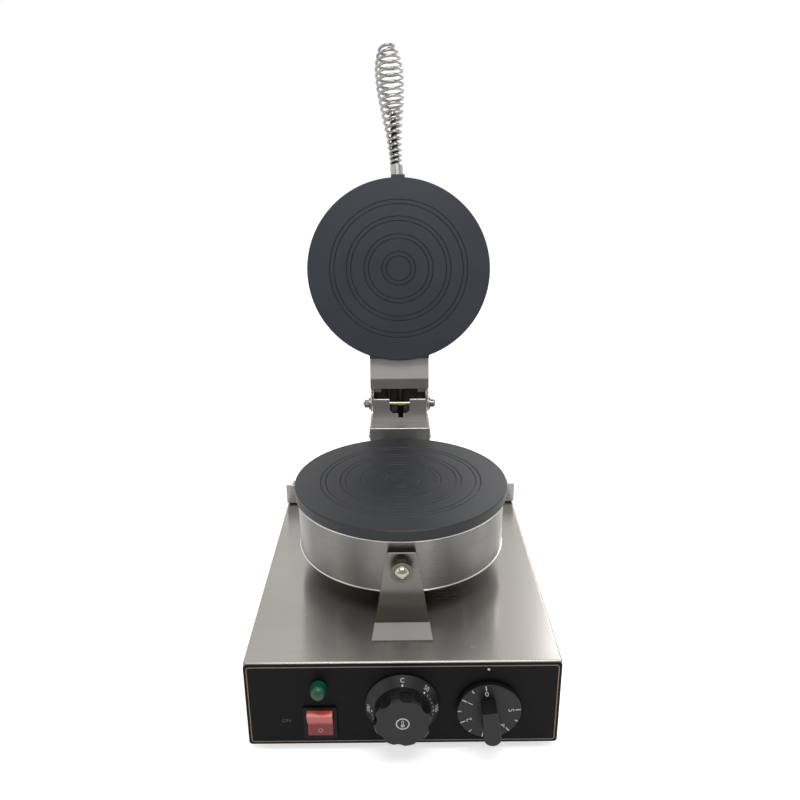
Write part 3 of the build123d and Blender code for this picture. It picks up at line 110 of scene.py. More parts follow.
class Graph:
    """A material's node tree, with short calls for the nodes that the finishes share."""

    def __init__(self, name: str) -> None:
        """Start a material with one surface shader.

        Args:
            name: Name of the material.
        """
        self.material = bpy.data.materials.new(name)
        self.material.use_nodes = True
        self.tree = self.material.node_tree
        self.tree.nodes.clear()
        output = self.tree.nodes.new("ShaderNodeOutputMaterial")
        self.shader = self.tree.nodes.new("ShaderNodeBsdfPrincipled")
        self.tree.links.new(self.shader.outputs["BSDF"], output.inputs["Surface"])
        coords = self.tree.nodes.new("ShaderNodeTexCoord")
        self.place = coords.outputs["Object"]
        self.normal = coords.outputs["Normal"]

    def node(self, kind: str, **settings: object) -> bpy.types.Node:
        """Add a node.

        Args:
            kind: Node type without its ShaderNode prefix.
            settings: Node properties.

        Returns:
            The new node.
        """
        made = self.tree.nodes.new("ShaderNode" + kind)
        for key, value in settings.items():
            setattr(made, key, value)
        return made

    def feed(self, target: Socket, value: object) -> None:
        """Link a socket, or write a plain value.

        Args:
            target: Input that receives the value.
            value: An output socket, a number or a tuple.
        """
        if isinstance(value, bpy.types.NodeSocket):
            self.tree.links.new(value, target)
        else:
            target.default_value = value

    def sums(self, operation: str, first: object, second: object = 0.0) -> Socket:
        """Join two numbers by arithmetic.

        Args:
            operation: Blender's name of the operation.
            first: First number or socket.
            second: Second number or socket.

        Returns:
            The result's socket.
        """
        made = self.node("Math", operation=operation)
        self.feed(made.inputs[0], first)
        self.feed(made.inputs[1], second)
        return made.outputs[0]

    def vectors(self, operation: str, first: object, second: object) -> Socket:
        """Join two vectors.

        Args:
            operation: Blender's name of the operation.
            first: First vector or socket.
            second: Second vector or socket.

        Returns:
            The resulting vector's socket.
        """
        made = self.node("VectorMath", operation=operation)
        self.feed(made.inputs[0], first)
        self.feed(made.inputs[1], second)
        return made.outputs["Vector"]

    def along(self, vector: Socket, direction: Point3) -> Socket:
        """Measure a vector along a direction.

        Args:
            vector: Vector to measure.
            direction: Unit direction.

        Returns:
            The length along the direction.
        """
        made = self.node("VectorMath", operation="DOT_PRODUCT")
        self.feed(made.inputs[0], vector)
        self.feed(made.inputs[1], direction)
        return made.outputs["Value"]

    def off_axis(self, vector: Socket, axis: Point3) -> Socket:
        """Measure how far a place is from an axis through the origin.

        Args:
            vector: Place measured from a point of the axis.
            axis: Unit direction of the axis.

        Returns:
            The distance.
        """
        made = self.node("VectorMath", operation="LENGTH")
        self.feed(made.inputs[0], self.vectors("CROSS_PRODUCT", axis, vector))
        return made.outputs["Value"]

    def joined(self, *parts: object) -> Socket:
        """Make a vector of two or three numbers.

        Args:
            parts: Numbers or sockets for the directions in order.

        Returns:
            The vector's socket.
        """
        made = self.node("CombineXYZ")
        for target, part in zip(made.inputs, parts):
            self.feed(target, part)
        return made.outputs[0]

    def noise(self, vector: Socket, scale: float, detail: float = 2.0) -> Socket:
        """Add fractal noise.

        Args:
            vector: Place where the noise is read.
            scale: Noise scale per metre.
            detail: Number of finer layers.

        Returns:
            Noise from 0 to 1.
        """
        made = self.node("TexNoise")
        self.feed(made.inputs["Vector"], vector)
        made.inputs["Scale"].default_value = scale
        made.inputs["Detail"].default_value = detail
        return made.outputs["Fac"]

    def spread(self, value: Socket, low: float, high: float,
               start: float = 0.3, stop: float = 0.7) -> Socket:
        """Map a value to a range.

        Args:
            value: Value to map.
            low: Result at the start.
            high: Result at the stop.
            start: Value where the result begins to change.
            stop: Value where it stops changing.

        Returns:
            The mapped value.
        """
        made = self.node("MapRange")
        self.feed(made.inputs["Value"], value)
        made.inputs["From Min"].default_value = start
        made.inputs["From Max"].default_value = stop
        made.inputs["To Min"].default_value = low
        made.inputs["To Max"].default_value = high
        return made.outputs["Result"]

    def blend(self, share: object, first: object, second: object) -> Socket:
        """Mix two colours.

        Args:
            share: Share of the second colour.
            first: Colour tuple or socket.
            second: Colour tuple or socket.

        Returns:
            The mixed colour.
        """
        made = self.node("Mix", data_type="RGBA")
        self.feed(made.inputs[0], share)
        for index, colour in zip(MIX_COLOURS, (first, second)):
            self.feed(made.inputs[index], opaque(colour))
        return made.outputs[MIXED_COLOUR]

    def choose(self, share: Socket, first: object, second: object) -> Socket:
        """Choose between two vectors.

        Args:
            share: 0 for the first vector, 1 for the second.
            first: First vector or socket.
            second: Second vector or socket.

        Returns:
            The chosen vector.
        """
        made = self.node("Mix", data_type="VECTOR")
        self.feed(made.inputs[0], share)
        for index, vector in zip(MIX_VECTORS, (first, second)):
            self.feed(made.inputs[index], vector)
        return made.outputs[MIXED_VECTOR]

    def in_world(self, vector: Socket) -> Socket:
        """Turn a direction from the piece's own frame into the world's.

        Args:
            vector: Direction in the piece's own frame.

        Returns:
            The direction in the world's frame.
        """
        made = self.node("VectorTransform", vector_type="VECTOR", convert_from="OBJECT",
                         convert_to="WORLD")
        self.feed(made.inputs[0], vector)
        return made.outputs[0]

    def relief(self, layers: Sequence[Tuple[Socket, float]], edge: float = 0.0) -> None:
        """Give the surface fine relief from one or more height values.

        Args:
            layers: Pairs of a height socket and the depth in metres that it stands for.
            edge: Radius in metres that softens the hard edges, or 0 for none.
        """
        normal: Optional[Socket] = None
        if edge:
            soft = self.node("Bevel", samples=EDGE_SAMPLES)
            soft.inputs["Radius"].default_value = edge
            normal = soft.outputs["Normal"]
        for height, depth in layers:
            bump = self.node("Bump")
            self.feed(bump.inputs["Height"], height)
            bump.inputs["Distance"].default_value = depth
            bump.inputs["Strength"].default_value = 1.0
            if normal is not None:
                self.feed(bump.inputs["Normal"], normal)
            normal = bump.outputs["Normal"]
        if normal is not None:
            self.feed(self.shader.inputs["Normal"], normal)

    def surface(self, **values: object) -> None:
        """Set the shader's inputs.

        Args:
            values: Input names with underscores for blanks, and their values or sockets.
        """
        for key, value in values.items():
            self.feed(self.shader.inputs[key.replace("_", " ")], opaque(value))


def opaque(value: object) -> object:
    """Add full opacity to a colour tuple and leave anything else alone.

    Args:
        value: A colour, number or socket.

    Returns:
        The value, with a fourth number on a colour.
    """
    if isinstance(value, tuple) and len(value) == 3:
        return (*value, 1.0)
    return value


class Finish(Protocol):
    """Anything with a name that makes a material."""

    @property
    def name(self) -> str:
        """Name of the material."""

    def build(self) -> bpy.types.Material:
        """Make the material."""


@dataclass(frozen=True)
class BrushedSteel:
    """Stainless sheet with fine polishing lines, light smudges, bright bends and optional painted
    light.
    """

    name: str = "brushed_stainless_sheet"
    colour: Colour = (0.430, 0.415, 0.384)
    shade: Colour = (0.385, 0.371, 0.342)
    grain: Grain = Grain.ACROSS
    centre: Point3 = (0.0, 0.0, 0.0)
    axis: Point3 = UP
    roughness: float = 0.25
    stretch: float = 0.94
    line_pitch: float = 0.45 * MM
    line_length: float = 60.0 * MM
    bend: float = 0.9 * MM
    waves: float = 0.0
    wave_scale: float = 3.2
    flats: Optional[Colour] = None
    flat_dulling: float = 0.38
    flat_range: Point2 = (0.25, 0.50)
    side_limit: float = 0.7
    turn_steps: float = 1.2
    line_share: float = 0.3
    line_dulling: float = 0.01
    line_relief: float = 0.00005 * MM
    smudge_scale: float = 11.0
    smudge_share: float = 0.5
    smudge_dulling: float = 0.02
    speck_scale: float = 900.0
    speck_share: float = 1.2
    speck_range: Point2 = (0.74, 0.80)

    def ways(self, g: Graph, local: Socket) -> Tuple[Socket, Socket]:
        """Find how the polishing lines run.

        Args:
            g: Graph that holds the nodes.
            local: Place measured from the sheet's centre.

        Returns:
            Direction of the lines, and a place that is scaled to their pitch and length.
        """
        fine, slow = 1 / self.line_pitch, 1 / self.line_length
        if self.grain is Grain.ROUND:
            across = Vector(self.axis).cross(Vector(RIGHT))
            turn = g.sums("ARCTAN2", g.along(local, tuple(across)), g.along(local, RIGHT))
            steps = g.joined(turn, g.along(local, self.axis), g.off_axis(local, self.axis))
            return (g.vectors("CROSS_PRODUCT", self.axis, local),
                    g.vectors("MULTIPLY", steps, (self.turn_steps, fine, fine)))
        if self.grain is Grain.LENGTHWISE:
            return (g.vectors("CROSS_PRODUCT", g.normal, RIGHT),
                    g.vectors("MULTIPLY", local, (fine, slow, slow)))
        side = g.sums("ABSOLUTE", g.along(g.normal, RIGHT))
        facing = g.sums("GREATER_THAN", side, self.side_limit)
        return (g.choose(facing, RIGHT, BACK),
                g.choose(facing, g.vectors("MULTIPLY", local, (slow, fine, fine)),
                         g.vectors("MULTIPLY", local, (fine, slow, fine))))

    def build(self) -> bpy.types.Material:
        """Make the steel's material.

        Returns:
            The material.
        """
        g = Graph(self.name)
        local = g.vectors("SUBTRACT", g.place, self.centre)
        along, steps = self.ways(g, local)
        lines = g.noise(steps, 1.0, 1.0)
        smudges = g.noise(g.place, self.smudge_scale)
        specks = g.noise(g.place, self.speck_scale)
        tone = g.sums("ADD", g.spread(lines, 0.0, self.line_share),
                      g.spread(smudges, 0.0, self.smudge_share))
        # Painted reflection: tone bands that change round the axis stand in for reflected light.
        if self.waves:
            reach = g.vectors("MULTIPLY", g.vectors("NORMALIZE", local, local), (1.0, 1.0, 0.0))
            sheen = g.noise(reach, self.wave_scale, 1.0)
            tone = g.sums("ADD", tone, g.spread(sheen, 0.0, self.waves))
        marked = g.sums("ADD", tone, g.spread(specks, 0.0, self.speck_share, *self.speck_range))
        rough = g.sums("ADD", g.spread(smudges, -self.smudge_dulling, self.smudge_dulling),
                       g.spread(lines, -self.line_dulling, self.line_dulling))
        colour = g.blend(marked, self.colour, self.shade)
        # Painted light: faces that look up get a lighter colour, as well as more roughness and
        # lines across.
        if self.flats:
            level = g.spread(g.along(g.normal, UP), 0.0, 1.0, *self.flat_range)
            colour = g.blend(level, colour, self.flats)
            rough = g.sums("ADD", rough, g.sums("MULTIPLY", level, self.flat_dulling))
            along = g.choose(level, along, RIGHT)
        g.surface(
            Base_Color=colour,
            Metallic=1.0,
            Roughness=g.sums("ADD", rough, self.roughness),
            Anisotropic=self.stretch,
            Tangent=g.in_world(g.vectors("CROSS_PRODUCT", along, g.normal)),
        )
        g.relief([(lines, self.line_relief)], edge=self.bend)
        return g.material


@dataclass(frozen=True)
class StainedSteel:
    """Arm cover: polished outside, with painted shade on the face towards the drum."""

    name: str = "shade_painted_steel"
    polished: Colour = (0.400, 0.386, 0.356)
    stained: Colour = (0.060, 0.046, 0.036)
    axis: Point3 = UP
    turn_range: Point2 = (-0.4, 0.4)
    cloud_scale: float = 90.0
    thin_stain: float = 0.82
    stain_dulling: float = 0.2
    roughness: Point2 = (0.28, 0.34)
    line_steps: Point3 = (14.0, 2200.0, 2200.0)
    line_relief: float = 0.0006 * MM
    bend: float = 0.5 * MM

    def build(self) -> bpy.types.Material:
        """Make the cover's material.

        Returns:
            The material.
        """
        g = Graph(self.name)
        # Painted shade: the face towards the drum is darkened with patchy strength, and dulled.
        inside = g.spread(g.along(g.normal, self.axis), 1.0, 0.0, *self.turn_range)
        clouds = g.noise(g.place, self.cloud_scale, 4.0)
        lines = g.noise(g.vectors("MULTIPLY", g.place, self.line_steps), 1.0)
        share = g.sums("MULTIPLY", inside, g.spread(clouds, self.thin_stain, 1.0))
        dulled = g.sums("MULTIPLY", inside, self.stain_dulling)
        g.surface(
            Base_Color=g.blend(share, self.polished, self.stained),
            Metallic=1.0,
            Roughness=g.sums("ADD", g.spread(lines, *self.roughness), dulled),
        )
        g.relief([(lines, self.line_relief)], edge=self.bend)
        return g.material


@dataclass(frozen=True)
class SmoothMetal:
    """Plated or polished metal with faint wear, finger marks and optional painted shade in
    crevices.
    """

    name: str
    colour: Colour
    dull: Colour
    roughness: float = 0.12
    wear: float = 0.06
    grime_reach: float = 0.0
    half_width: float = 0.0
    edge: float = 0.25 * MM
    mark_scale: float = 260.0
    mark_share: float = 0.5
    mark_relief: float = 0.002 * MM
    patch_scale: float = 45.0
    scratch_steps: Point3 = (60.0, 60.0, 1800.0)
    scratch_relief: float = 0.0008 * MM
    grime_samples: int = 6
    grime_range: Point2 = (0.25, 0.85)
    grime_shade: float = 0.25
    end_shade: float = 0.8

    def build(self) -> bpy.types.Material:
        """Make the metal's material.

        Returns:
            The material.
        """
        g = Graph(self.name)
        marks = g.noise(g.place, self.mark_scale, 4.0)
        patches = g.noise(g.place, self.patch_scale)
        scratches = g.noise(g.vectors("MULTIPLY", g.place, self.scratch_steps), 1.0)
        tone = g.sums("MULTIPLY", g.spread(patches, 0.0, 1.0),
                      g.spread(marks, self.mark_share, 1.0))
        colour = g.blend(tone, self.colour, self.dull)
        # Painted shade: darker where ambient occlusion finds nearby surfaces, as between coil
        # turns.
        if self.grime_reach:
            hidden = g.node("AmbientOcclusion", samples=self.grime_samples)
            hidden.inputs["Distance"].default_value = self.grime_reach
            crevice_shade = g.spread(hidden.outputs["AO"], 1.0, 0.0, *self.grime_range)
            colour = g.blend(crevice_shade, colour, tuple(part * self.grime_shade for part in self.dull))
        if self.half_width:
            side = g.sums("ABSOLUTE", g.along(g.place, RIGHT))
            grey = (self.dull[0] * self.end_shade,) * 3
            colour = g.blend(g.sums("GREATER_THAN", side, self.half_width), colour, grey)
        g.surface(
            Base_Color=colour,
            Metallic=1.0,
            Roughness=g.sums("ADD", g.spread(marks, -self.wear, self.wear), self.roughness),
        )
        g.relief([(scratches, self.scratch_relief), (marks, self.mark_relief)], edge=self.edge)
        return g.material


@dataclass(frozen=True)
class CoatedPlate:
    """Dark non-stick coating over turned cast metal, rubbed paler towards the rim."""

    name: str
    centre: Point3
    colour: Colour
    worn: Colour
    axis: Point3 = UP
    rim: float = 80.0 * MM
    worn_from: float = 0.3
    rim_share: float = 0.45
    roughness: Point2 = (0.40, 0.47)
    gloss: float = 0.5
    edge: float = 0.6 * MM
    turning_scale: float = 1400.0
    turning_dulling: float = 0.03
    turning_relief: float = 0.004 * MM
    pebble_scale: float = 2400.0
    pebble_relief: float = 0.012 * MM
    cloud_scale: float = 22.0
    cloud_share: float = 0.4
    fleck_scale: float = 700.0
    fleck_share: float = 0.5
    fleck_range: Point2 = (0.05, 0.14)

    def build(self) -> bpy.types.Material:
        """Make the coating's material.

        Returns:
            The material.
        """
        g = Graph(self.name)
        local = g.vectors("SUBTRACT", g.place, self.centre)
        reach = g.off_axis(local, self.axis)
        turned = g.noise(g.joined(g.sums("MULTIPLY", reach, self.turning_scale)), 1.0, 1.0)
        pebbles = g.noise(g.place, self.pebble_scale)
        clouds = g.noise(g.place, self.cloud_scale, 3.0)
        flecks = g.node("TexVoronoi")
        g.feed(flecks.inputs["Vector"], g.place)
        flecks.inputs["Scale"].default_value = self.fleck_scale
        dust = g.spread(flecks.outputs["Distance"], self.fleck_share, 0.0, *self.fleck_range)
        outer = g.spread(reach, 0.0, self.rim_share, self.worn_from * self.rim, self.rim)
        tone = g.sums("ADD", g.spread(clouds, 0.0, self.cloud_share), outer)
        g.surface(
            Base_Color=g.blend(g.sums("ADD", tone, dust), self.colour, self.worn),
            Roughness=g.sums("ADD", g.spread(clouds, *self.roughness),
                             g.spread(turned, -self.turning_dulling, self.turning_dulling)),
            Specular_IOR_Level=self.gloss,
        )
        g.relief([(turned, self.turning_relief), (pebbles, self.pebble_relief)], edge=self.edge)
        return g.material


@dataclass(frozen=True)
class Moulding:
    """Moulded plastic, enamel or rubber with a fine grain."""

    name: str
    colour: Colour
    tint: Colour
    roughness: float = 0.42
    grain_scale: float = 1700.0
    grain_depth: float = 0.012 * MM
    gloss: float = 0.5
    coat: float = 0.0
    coat_roughness: float = 0.12
    edge: float = 0.4 * MM
    cloud_scale: float = 60.0
    cloud_share: float = 0.7
    cloud_dulling: float = 0.04
    dust_scale: float = 420.0
    dust_share: float = 0.3
    dust_range: Point2 = (0.45, 0.8)

    def build(self) -> bpy.types.Material:
        """Make the moulding's material.

        Returns:
            The material.
        """
        g = Graph(self.name)
        grain = g.noise(g.place, self.grain_scale)
        clouds = g.noise(g.place, self.cloud_scale, 3.0)
        dust = g.noise(g.place, self.dust_scale, 4.0)
        tone = g.sums("ADD", g.spread(clouds, 0.0, self.cloud_share),
                      g.spread(dust, 0.0, self.dust_share, *self.dust_range))
        dulled = g.spread(clouds, -self.cloud_dulling, self.cloud_dulling)
        g.surface(
            Base_Color=g.blend(tone, self.colour, self.tint),
            Roughness=g.sums("ADD", dulled, self.roughness),
            Specular_IOR_Level=self.gloss,
            Coat_Weight=self.coat,
            Coat_Roughness=self.coat_roughness,
        )
        g.relief([(grain, self.grain_depth)], edge=self.edge)
        return g.material


@dataclass(frozen=True)
class TintedLens:
    """Tinted clear plastic with painted light towards the top, as on lamps and rocker switches."""

    name: str
    deep: Colour
    lit: Colour
    low: float
    high: float
    roughness: float = 0.22
    coat: float = 0.4
    coat_roughness: float = 0.10
    ribs: float = 0.0
    rib_shade: float = 0.86
    cell_scale: float = 350.0
    cell_shade: float = 0.85
    cell_dulling: float = 0.04
    cell_relief: float = 0.004 * MM
    edge: float = 0.5 * MM

    def build(self) -> bpy.types.Material:
        """Make the tinted plastic's material.

        Returns:
            The material.
        """
        g = Graph(self.name)
        cells = g.noise(g.place, self.cell_scale)
        # Painted light: the colour grows lighter towards the top.
        rise = g.spread(g.along(g.place, UP), 0.0, 1.0, self.low, self.high)
        painted_top_light = g.sums("MULTIPLY", rise, g.spread(cells, self.cell_shade, 1.0))
        if self.ribs:
            wave = g.node("TexWave", wave_type="BANDS", bands_direction="X")
            g.feed(wave.inputs["Vector"], g.place)
            wave.inputs["Scale"].default_value = self.ribs
            shaded = g.spread(wave.outputs["Fac"], self.rib_shade, 1.0, 0.0, 1.0)
            painted_top_light = g.sums("MULTIPLY", painted_top_light, shaded)
        g.surface(
            Base_Color=g.blend(painted_top_light, self.deep, self.lit),
            Roughness=g.spread(cells, self.roughness - self.cell_dulling,
                               self.roughness + self.cell_dulling),
            Coat_Weight=self.coat,
            Coat_Roughness=self.coat_roughness,
        )
        g.relief([(cells, self.cell_relief)], edge=self.edge)
        return g.material


@dataclass(frozen=True)
class Wool:
    """Pressed mineral wool."""

    name: str = "mineral_wool"
    colour: Colour = (0.60, 0.55, 0.42)
    shade: Colour = (0.42, 0.37, 0.26)
    roughness: float = 0.95
    sheen: float = 0.2
    strand_steps: Point3 = (900.0, 900.0, 2600.0)
    strand_relief: float = 0.3 * MM
    clump_scale: float = 120.0
    clump_relief: float = 0.8 * MM

    def build(self) -> bpy.types.Material:
        """Make the wool's material.

        Returns:
            The material.
        """
        g = Graph(self.name)
        strands = g.noise(g.vectors("MULTIPLY", g.place, self.strand_steps), 1.0, 4.0)
        clumps = g.noise(g.place, self.clump_scale, 3.0)
        g.surface(
            Base_Color=g.blend(g.spread(clumps, 0.0, 1.0), self.colour, self.shade),
            Roughness=self.roughness,
            Sheen_Weight=self.sheen,
        )
        g.relief([(strands, self.strand_relief), (clumps, self.clump_relief)])
        return g.material


@dataclass(frozen=True)
class Ink:
    """Screen-printed marking, worn through in places."""

    name: str
    colour: Colour
    worn: Colour
    roughness: Point2 = (0.5, 0.65)
    gloss: float = 0.3
    wear_scale: float = 1600.0
    wear_range: Point2 = (0.45, 0.8)
    screen_scale: float = 5200.0
    screen_relief: float = 0.004 * MM

    def build(self) -> bpy.types.Material:
        """Make the ink's material.

        Returns:
            The material.
        """
        g = Graph(self.name)
        wear = g.noise(g.place, self.wear_scale, 3.0)
        screen = g.noise(g.place, self.screen_scale, 1.0)
        rubbed = g.spread(wear, 0.0, 1.0, *self.wear_range)
        g.surface(
            Base_Color=g.blend(rubbed, self.colour, self.worn),
            Roughness=g.spread(wear, *self.roughness),
            Specular_IOR_Level=self.gloss,
        )
        g.relief([(screen, self.screen_relief)])
        return g.material


def prism(outline: Sequence[Point2], depth: float) -> Solid:
    """Thin solid under a flat outline.

    Args:
        outline: Corners in order, as across and up distances.
        depth: Thickness.

    Returns:
        Corners and faces, with the front at the full depth.
    """
    count = len(outline)
    corners = [(u, v, w) for w in (0.0, depth) for u, v in outline]
    faces = [list(range(count))[::-1], list(range(count, 2 * count))]
    faces += [[i, (i + 1) % count, (i + 1) % count + count, i + count] for i in range(count)]
    return corners, faces


def band(outer: Sequence[Point2], inner: Sequence[Point2], depth: float) -> Solid:
    """Thin solid between two outlines with as many corners each.

    Args:
        outer: Outer outline.
        inner: Inner outline.
        depth: Thickness.

    Returns:
        Corners and faces, with the front at the full depth.
    """
    count = len(outer)
    corners = [(u, v, w) for w in (0.0, depth) for ring in (outer, inner) for u, v in ring]
    faces = []
    for i in range(count):
        j = (i + 1) % count
        rings = [(i + k * count, j + k * count) for k in range(4)]
        (out_a, out_b), (in_a, in_b), (top_out_a, top_out_b), (top_in_a, top_in_b) = rings
        faces.append([out_b, out_a, in_a, in_b])
        faces.append([top_out_a, top_out_b, top_in_b, top_in_a])
        faces.append([out_a, out_b, top_out_b, top_out_a])
        faces.append([in_b, in_a, top_in_a, top_in_b])
    return corners, faces


def round_outline(radius: float, count: int = 24, centre: Point2 = (0.0, 0.0)) -> List[Point2]:
    """Circle as an outline.

    Args:
        radius: Radius.
        count: Number of corners.
        centre: Middle of the circle.

    Returns:
        The corners, counter-clockwise.
    """
    turn = 2 * math.pi / count
    return [
        (centre[0] + radius * math.cos(i * turn), centre[1] + radius * math.sin(i * turn))
        for i in range(count)
    ]


def box_outline(width: float, height: float, corner: float, steps: int = 6) -> List[Point2]:
    """Rectangle with rounded corners as an outline.

    Args:
        width: Whole width.
        height: Whole height.
        corner: Corner radius.
        steps: Segments in each corner.

    Returns:
        The corners, counter-clockwise.
    """
    points = []
    for quarter, (sx, sy) in enumerate(((1, 1), (-1, 1), (-1, -1), (1, -1))):
        for step in range(steps + 1):
            angle = math.pi / 2 * (quarter + step / steps)
            points.append((
                sx * (width / 2 - corner) + corner * math.cos(angle),
                sy * (height / 2 - corner) + corner * math.sin(angle),
            ))
    return points


def ring_band(radius: float, width: float, depth: float, count: int) -> Solid:
    """Thin solid ring.

    Args:
        radius: Outer radius.
        width: Width of the ring.
        depth: Thickness.
        count: Number of corners round it.

    Returns:
        Corners and faces, with the front at the full depth.
    """
    outer, inner = (round_outline(reach, count) for reach in (radius, radius - width))
    return band(outer, inner, depth)


def lettering(text: str, size: float, depth: float, steps: int = 4) -> Solid:
    """Solid letters, centred on their middle.

    Args:
        text: Characters to set.
        size: Font size.
        depth: Thickness.
        steps: Segments in each curved stroke.

    Returns:
        Corners and faces of the letters.
    """
    curve = bpy.data.curves.new("letters", "FONT")
    curve.body = text
    curve.size = size
    curve.extrude = depth / 2
    curve.align_x = "CENTER"
    curve.resolution_u = steps
    carrier = bpy.data.objects.new("letters", curve)
    mesh = bpy.data.meshes.new_from_object(carrier)
    heights = [vertex.co.y for vertex in mesh.vertices]
    middle = (min(heights) + max(heights)) / 2
    corners = [(v.co.x, v.co.y - middle, v.co.z + depth / 2) for v in mesh.vertices]
    faces = [list(polygon.vertices) for polygon in mesh.polygons]
    bpy.data.objects.remove(carrier)
    bpy.data.curves.remove(curve)
    bpy.data.meshes.remove(mesh)
    return corners, faces


def moved(solid: Solid, u: float, v: float) -> Solid:
    """Shift a flat solid.

    Args:
        solid: Corners and faces.
        u: Distance across.
        v: Distance up.

    Returns:
        The shifted solid.
    """
    return [(a + u, b + v, c) for a, b, c in solid[0]], solid[1]


def placed(solid: Solid, place: Place) -> Solid:
    """Put a flat solid in the row frame.

    Args:
        solid: Corners and faces.
        place: Function from flat coordinates to the row frame.

    Returns:
        The solid with its corners in the row frame.
    """
    return [tuple(place(point)) for point in solid[0]], solid[1]


def make_piece(name: str, solids: Sequence[Solid], finish: bpy.types.Material, body: Body,
               smooth: bool = False) -> bpy.types.Object:
    """Build one piece from solids in the row frame and let it ride on a body.

    Args:
        name: Name of the piece.
        solids: Solids in the row frame.
        finish: Material.
        body: Body that carries the piece.
        smooth: Whether the faces are shaded smooth.

    Returns:
        The new object.
    """
    corners: List[Point3] = []
    faces: List[List[int]] = []
    for points, polygons in solids:
        start = len(corners)
        corners += points
        faces += [[start + i for i in polygon] for polygon in polygons]
    mesh = bpy.data.meshes.new(name)
    mesh.from_pydata(corners, [], faces)
    mesh.validate()
    mesh.materials.append(finish)
    for polygon in mesh.polygons:
        polygon.use_smooth = smooth
    piece = bpy.data.objects.new(name, mesh)
    bpy.context.scene.collection.objects.link(piece)
    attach(piece, body.value)
    log.info("piece %s: %d faces on %s", name, len(mesh.polygons), body.value)
    return piece


def dress(finish: bpy.types.Material, *nodes: str) -> None:
    """Give CAD nodes a finish.

    Args:
        finish: Material.
        nodes: Names of the nodes.
    """
    for name in nodes:
        for holder in frame["nodes"][name].material_slots:
            holder.material = finish
        log.info("node %s: %s", name, finish.name)


def ring_bead(radius: float, bead: float, centre: Point3, axis: Point3,
              steps: Tuple[int, int] = (144, 10)) -> Solid:
    """Round bead that runs in a circle.

    Args:
        radius: Radius of the circle.
        bead: Radius of the bead itself.
        centre: Middle of the circle.
        axis: Unit direction of the circle's axis.
        steps: Segments round the circle and round the bead.

    Returns:
        Corners and faces in the row frame.
    """
    middle, up = Vector(centre), Vector(axis)
    side = Vector(RIGHT)
    ahead = up.cross(side)
    corners = []
    for i in range(steps[0]):
        turn = 2 * math.pi * i / steps[0]
        outward = side * math.cos(turn) + ahead * math.sin(turn)
        for j in range(steps[1]):
            roll = 2 * math.pi * j / steps[1]
            reach = outward * (radius + bead * math.cos(roll)) + up * bead * math.sin(roll)
            corners.append(tuple(middle + reach))
    return corners, tube_faces(steps[0], steps[1], closed=True)


def straight_bead(start: Point3, end: Point3, bead: float,
                  steps: Tuple[int, int] = (4, 10)) -> Solid:
    """Round bead along a straight edge, with domed ends.

    Args:
        start: First end.
        end: Other end.
        bead: Radius of the bead.
        steps: Segments along each domed end and round the bead.

    Returns:
        Corners and faces in the row frame.
    """
    first, last = Vector(start), Vector(end)
    ahead = (last - first).normalized()
    side = ahead.orthogonal().normalized()
    up = ahead.cross(side)
    corners = []
    stations = [(first, i / steps[0] - 1) for i in range(steps[0] + 1)]
    stations += [(last, i / steps[0]) for i in range(steps[0] + 1)]
    for centre, share in stations:
        lean = math.pi / 2 * share * DOME_SHARE
        for j in range(steps[1]):
            roll = 2 * math.pi * j / steps[1]
            around = side * math.cos(roll) + up * math.sin(roll)
            corners.append(tuple(centre + ahead * bead * math.sin(lean)
                                 + around * bead * math.cos(lean)))
    return corners, tube_faces(len(stations), steps[1], closed=False)


def tube_faces(rows: int, around: int, closed: bool) -> List[List[int]]:
    """Join rings of corners into a tube.

    Args:
        rows: Number of rings.
        around: Corners in each ring.
        closed: Whether the last ring meets the first; the ends are capped if not.

    Returns:
        The faces.
    """
    faces = []
    for i in range(rows if closed else rows - 1):
        near, far = i * around, (i + 1) % rows * around
        faces += [
            [near + j, near + (j + 1) % around, far + (j + 1) % around, far + j]
            for j in range(around)
        ]
    if not closed:
        faces.append(list(range(around))[::-1])
        faces.append(list(range((rows - 1) * around, rows * around)))
    return faces


def axis_of(joint: str) -> Vector:
    """Find the point that a joint turns about.

    Args:
        joint: Name of the joint.

    Returns:
        The point in the row frame.
    """
    places = {entry["name"]: entry["pos_m"] for entry in frame["joints"]}
    return Vector(places[joint])


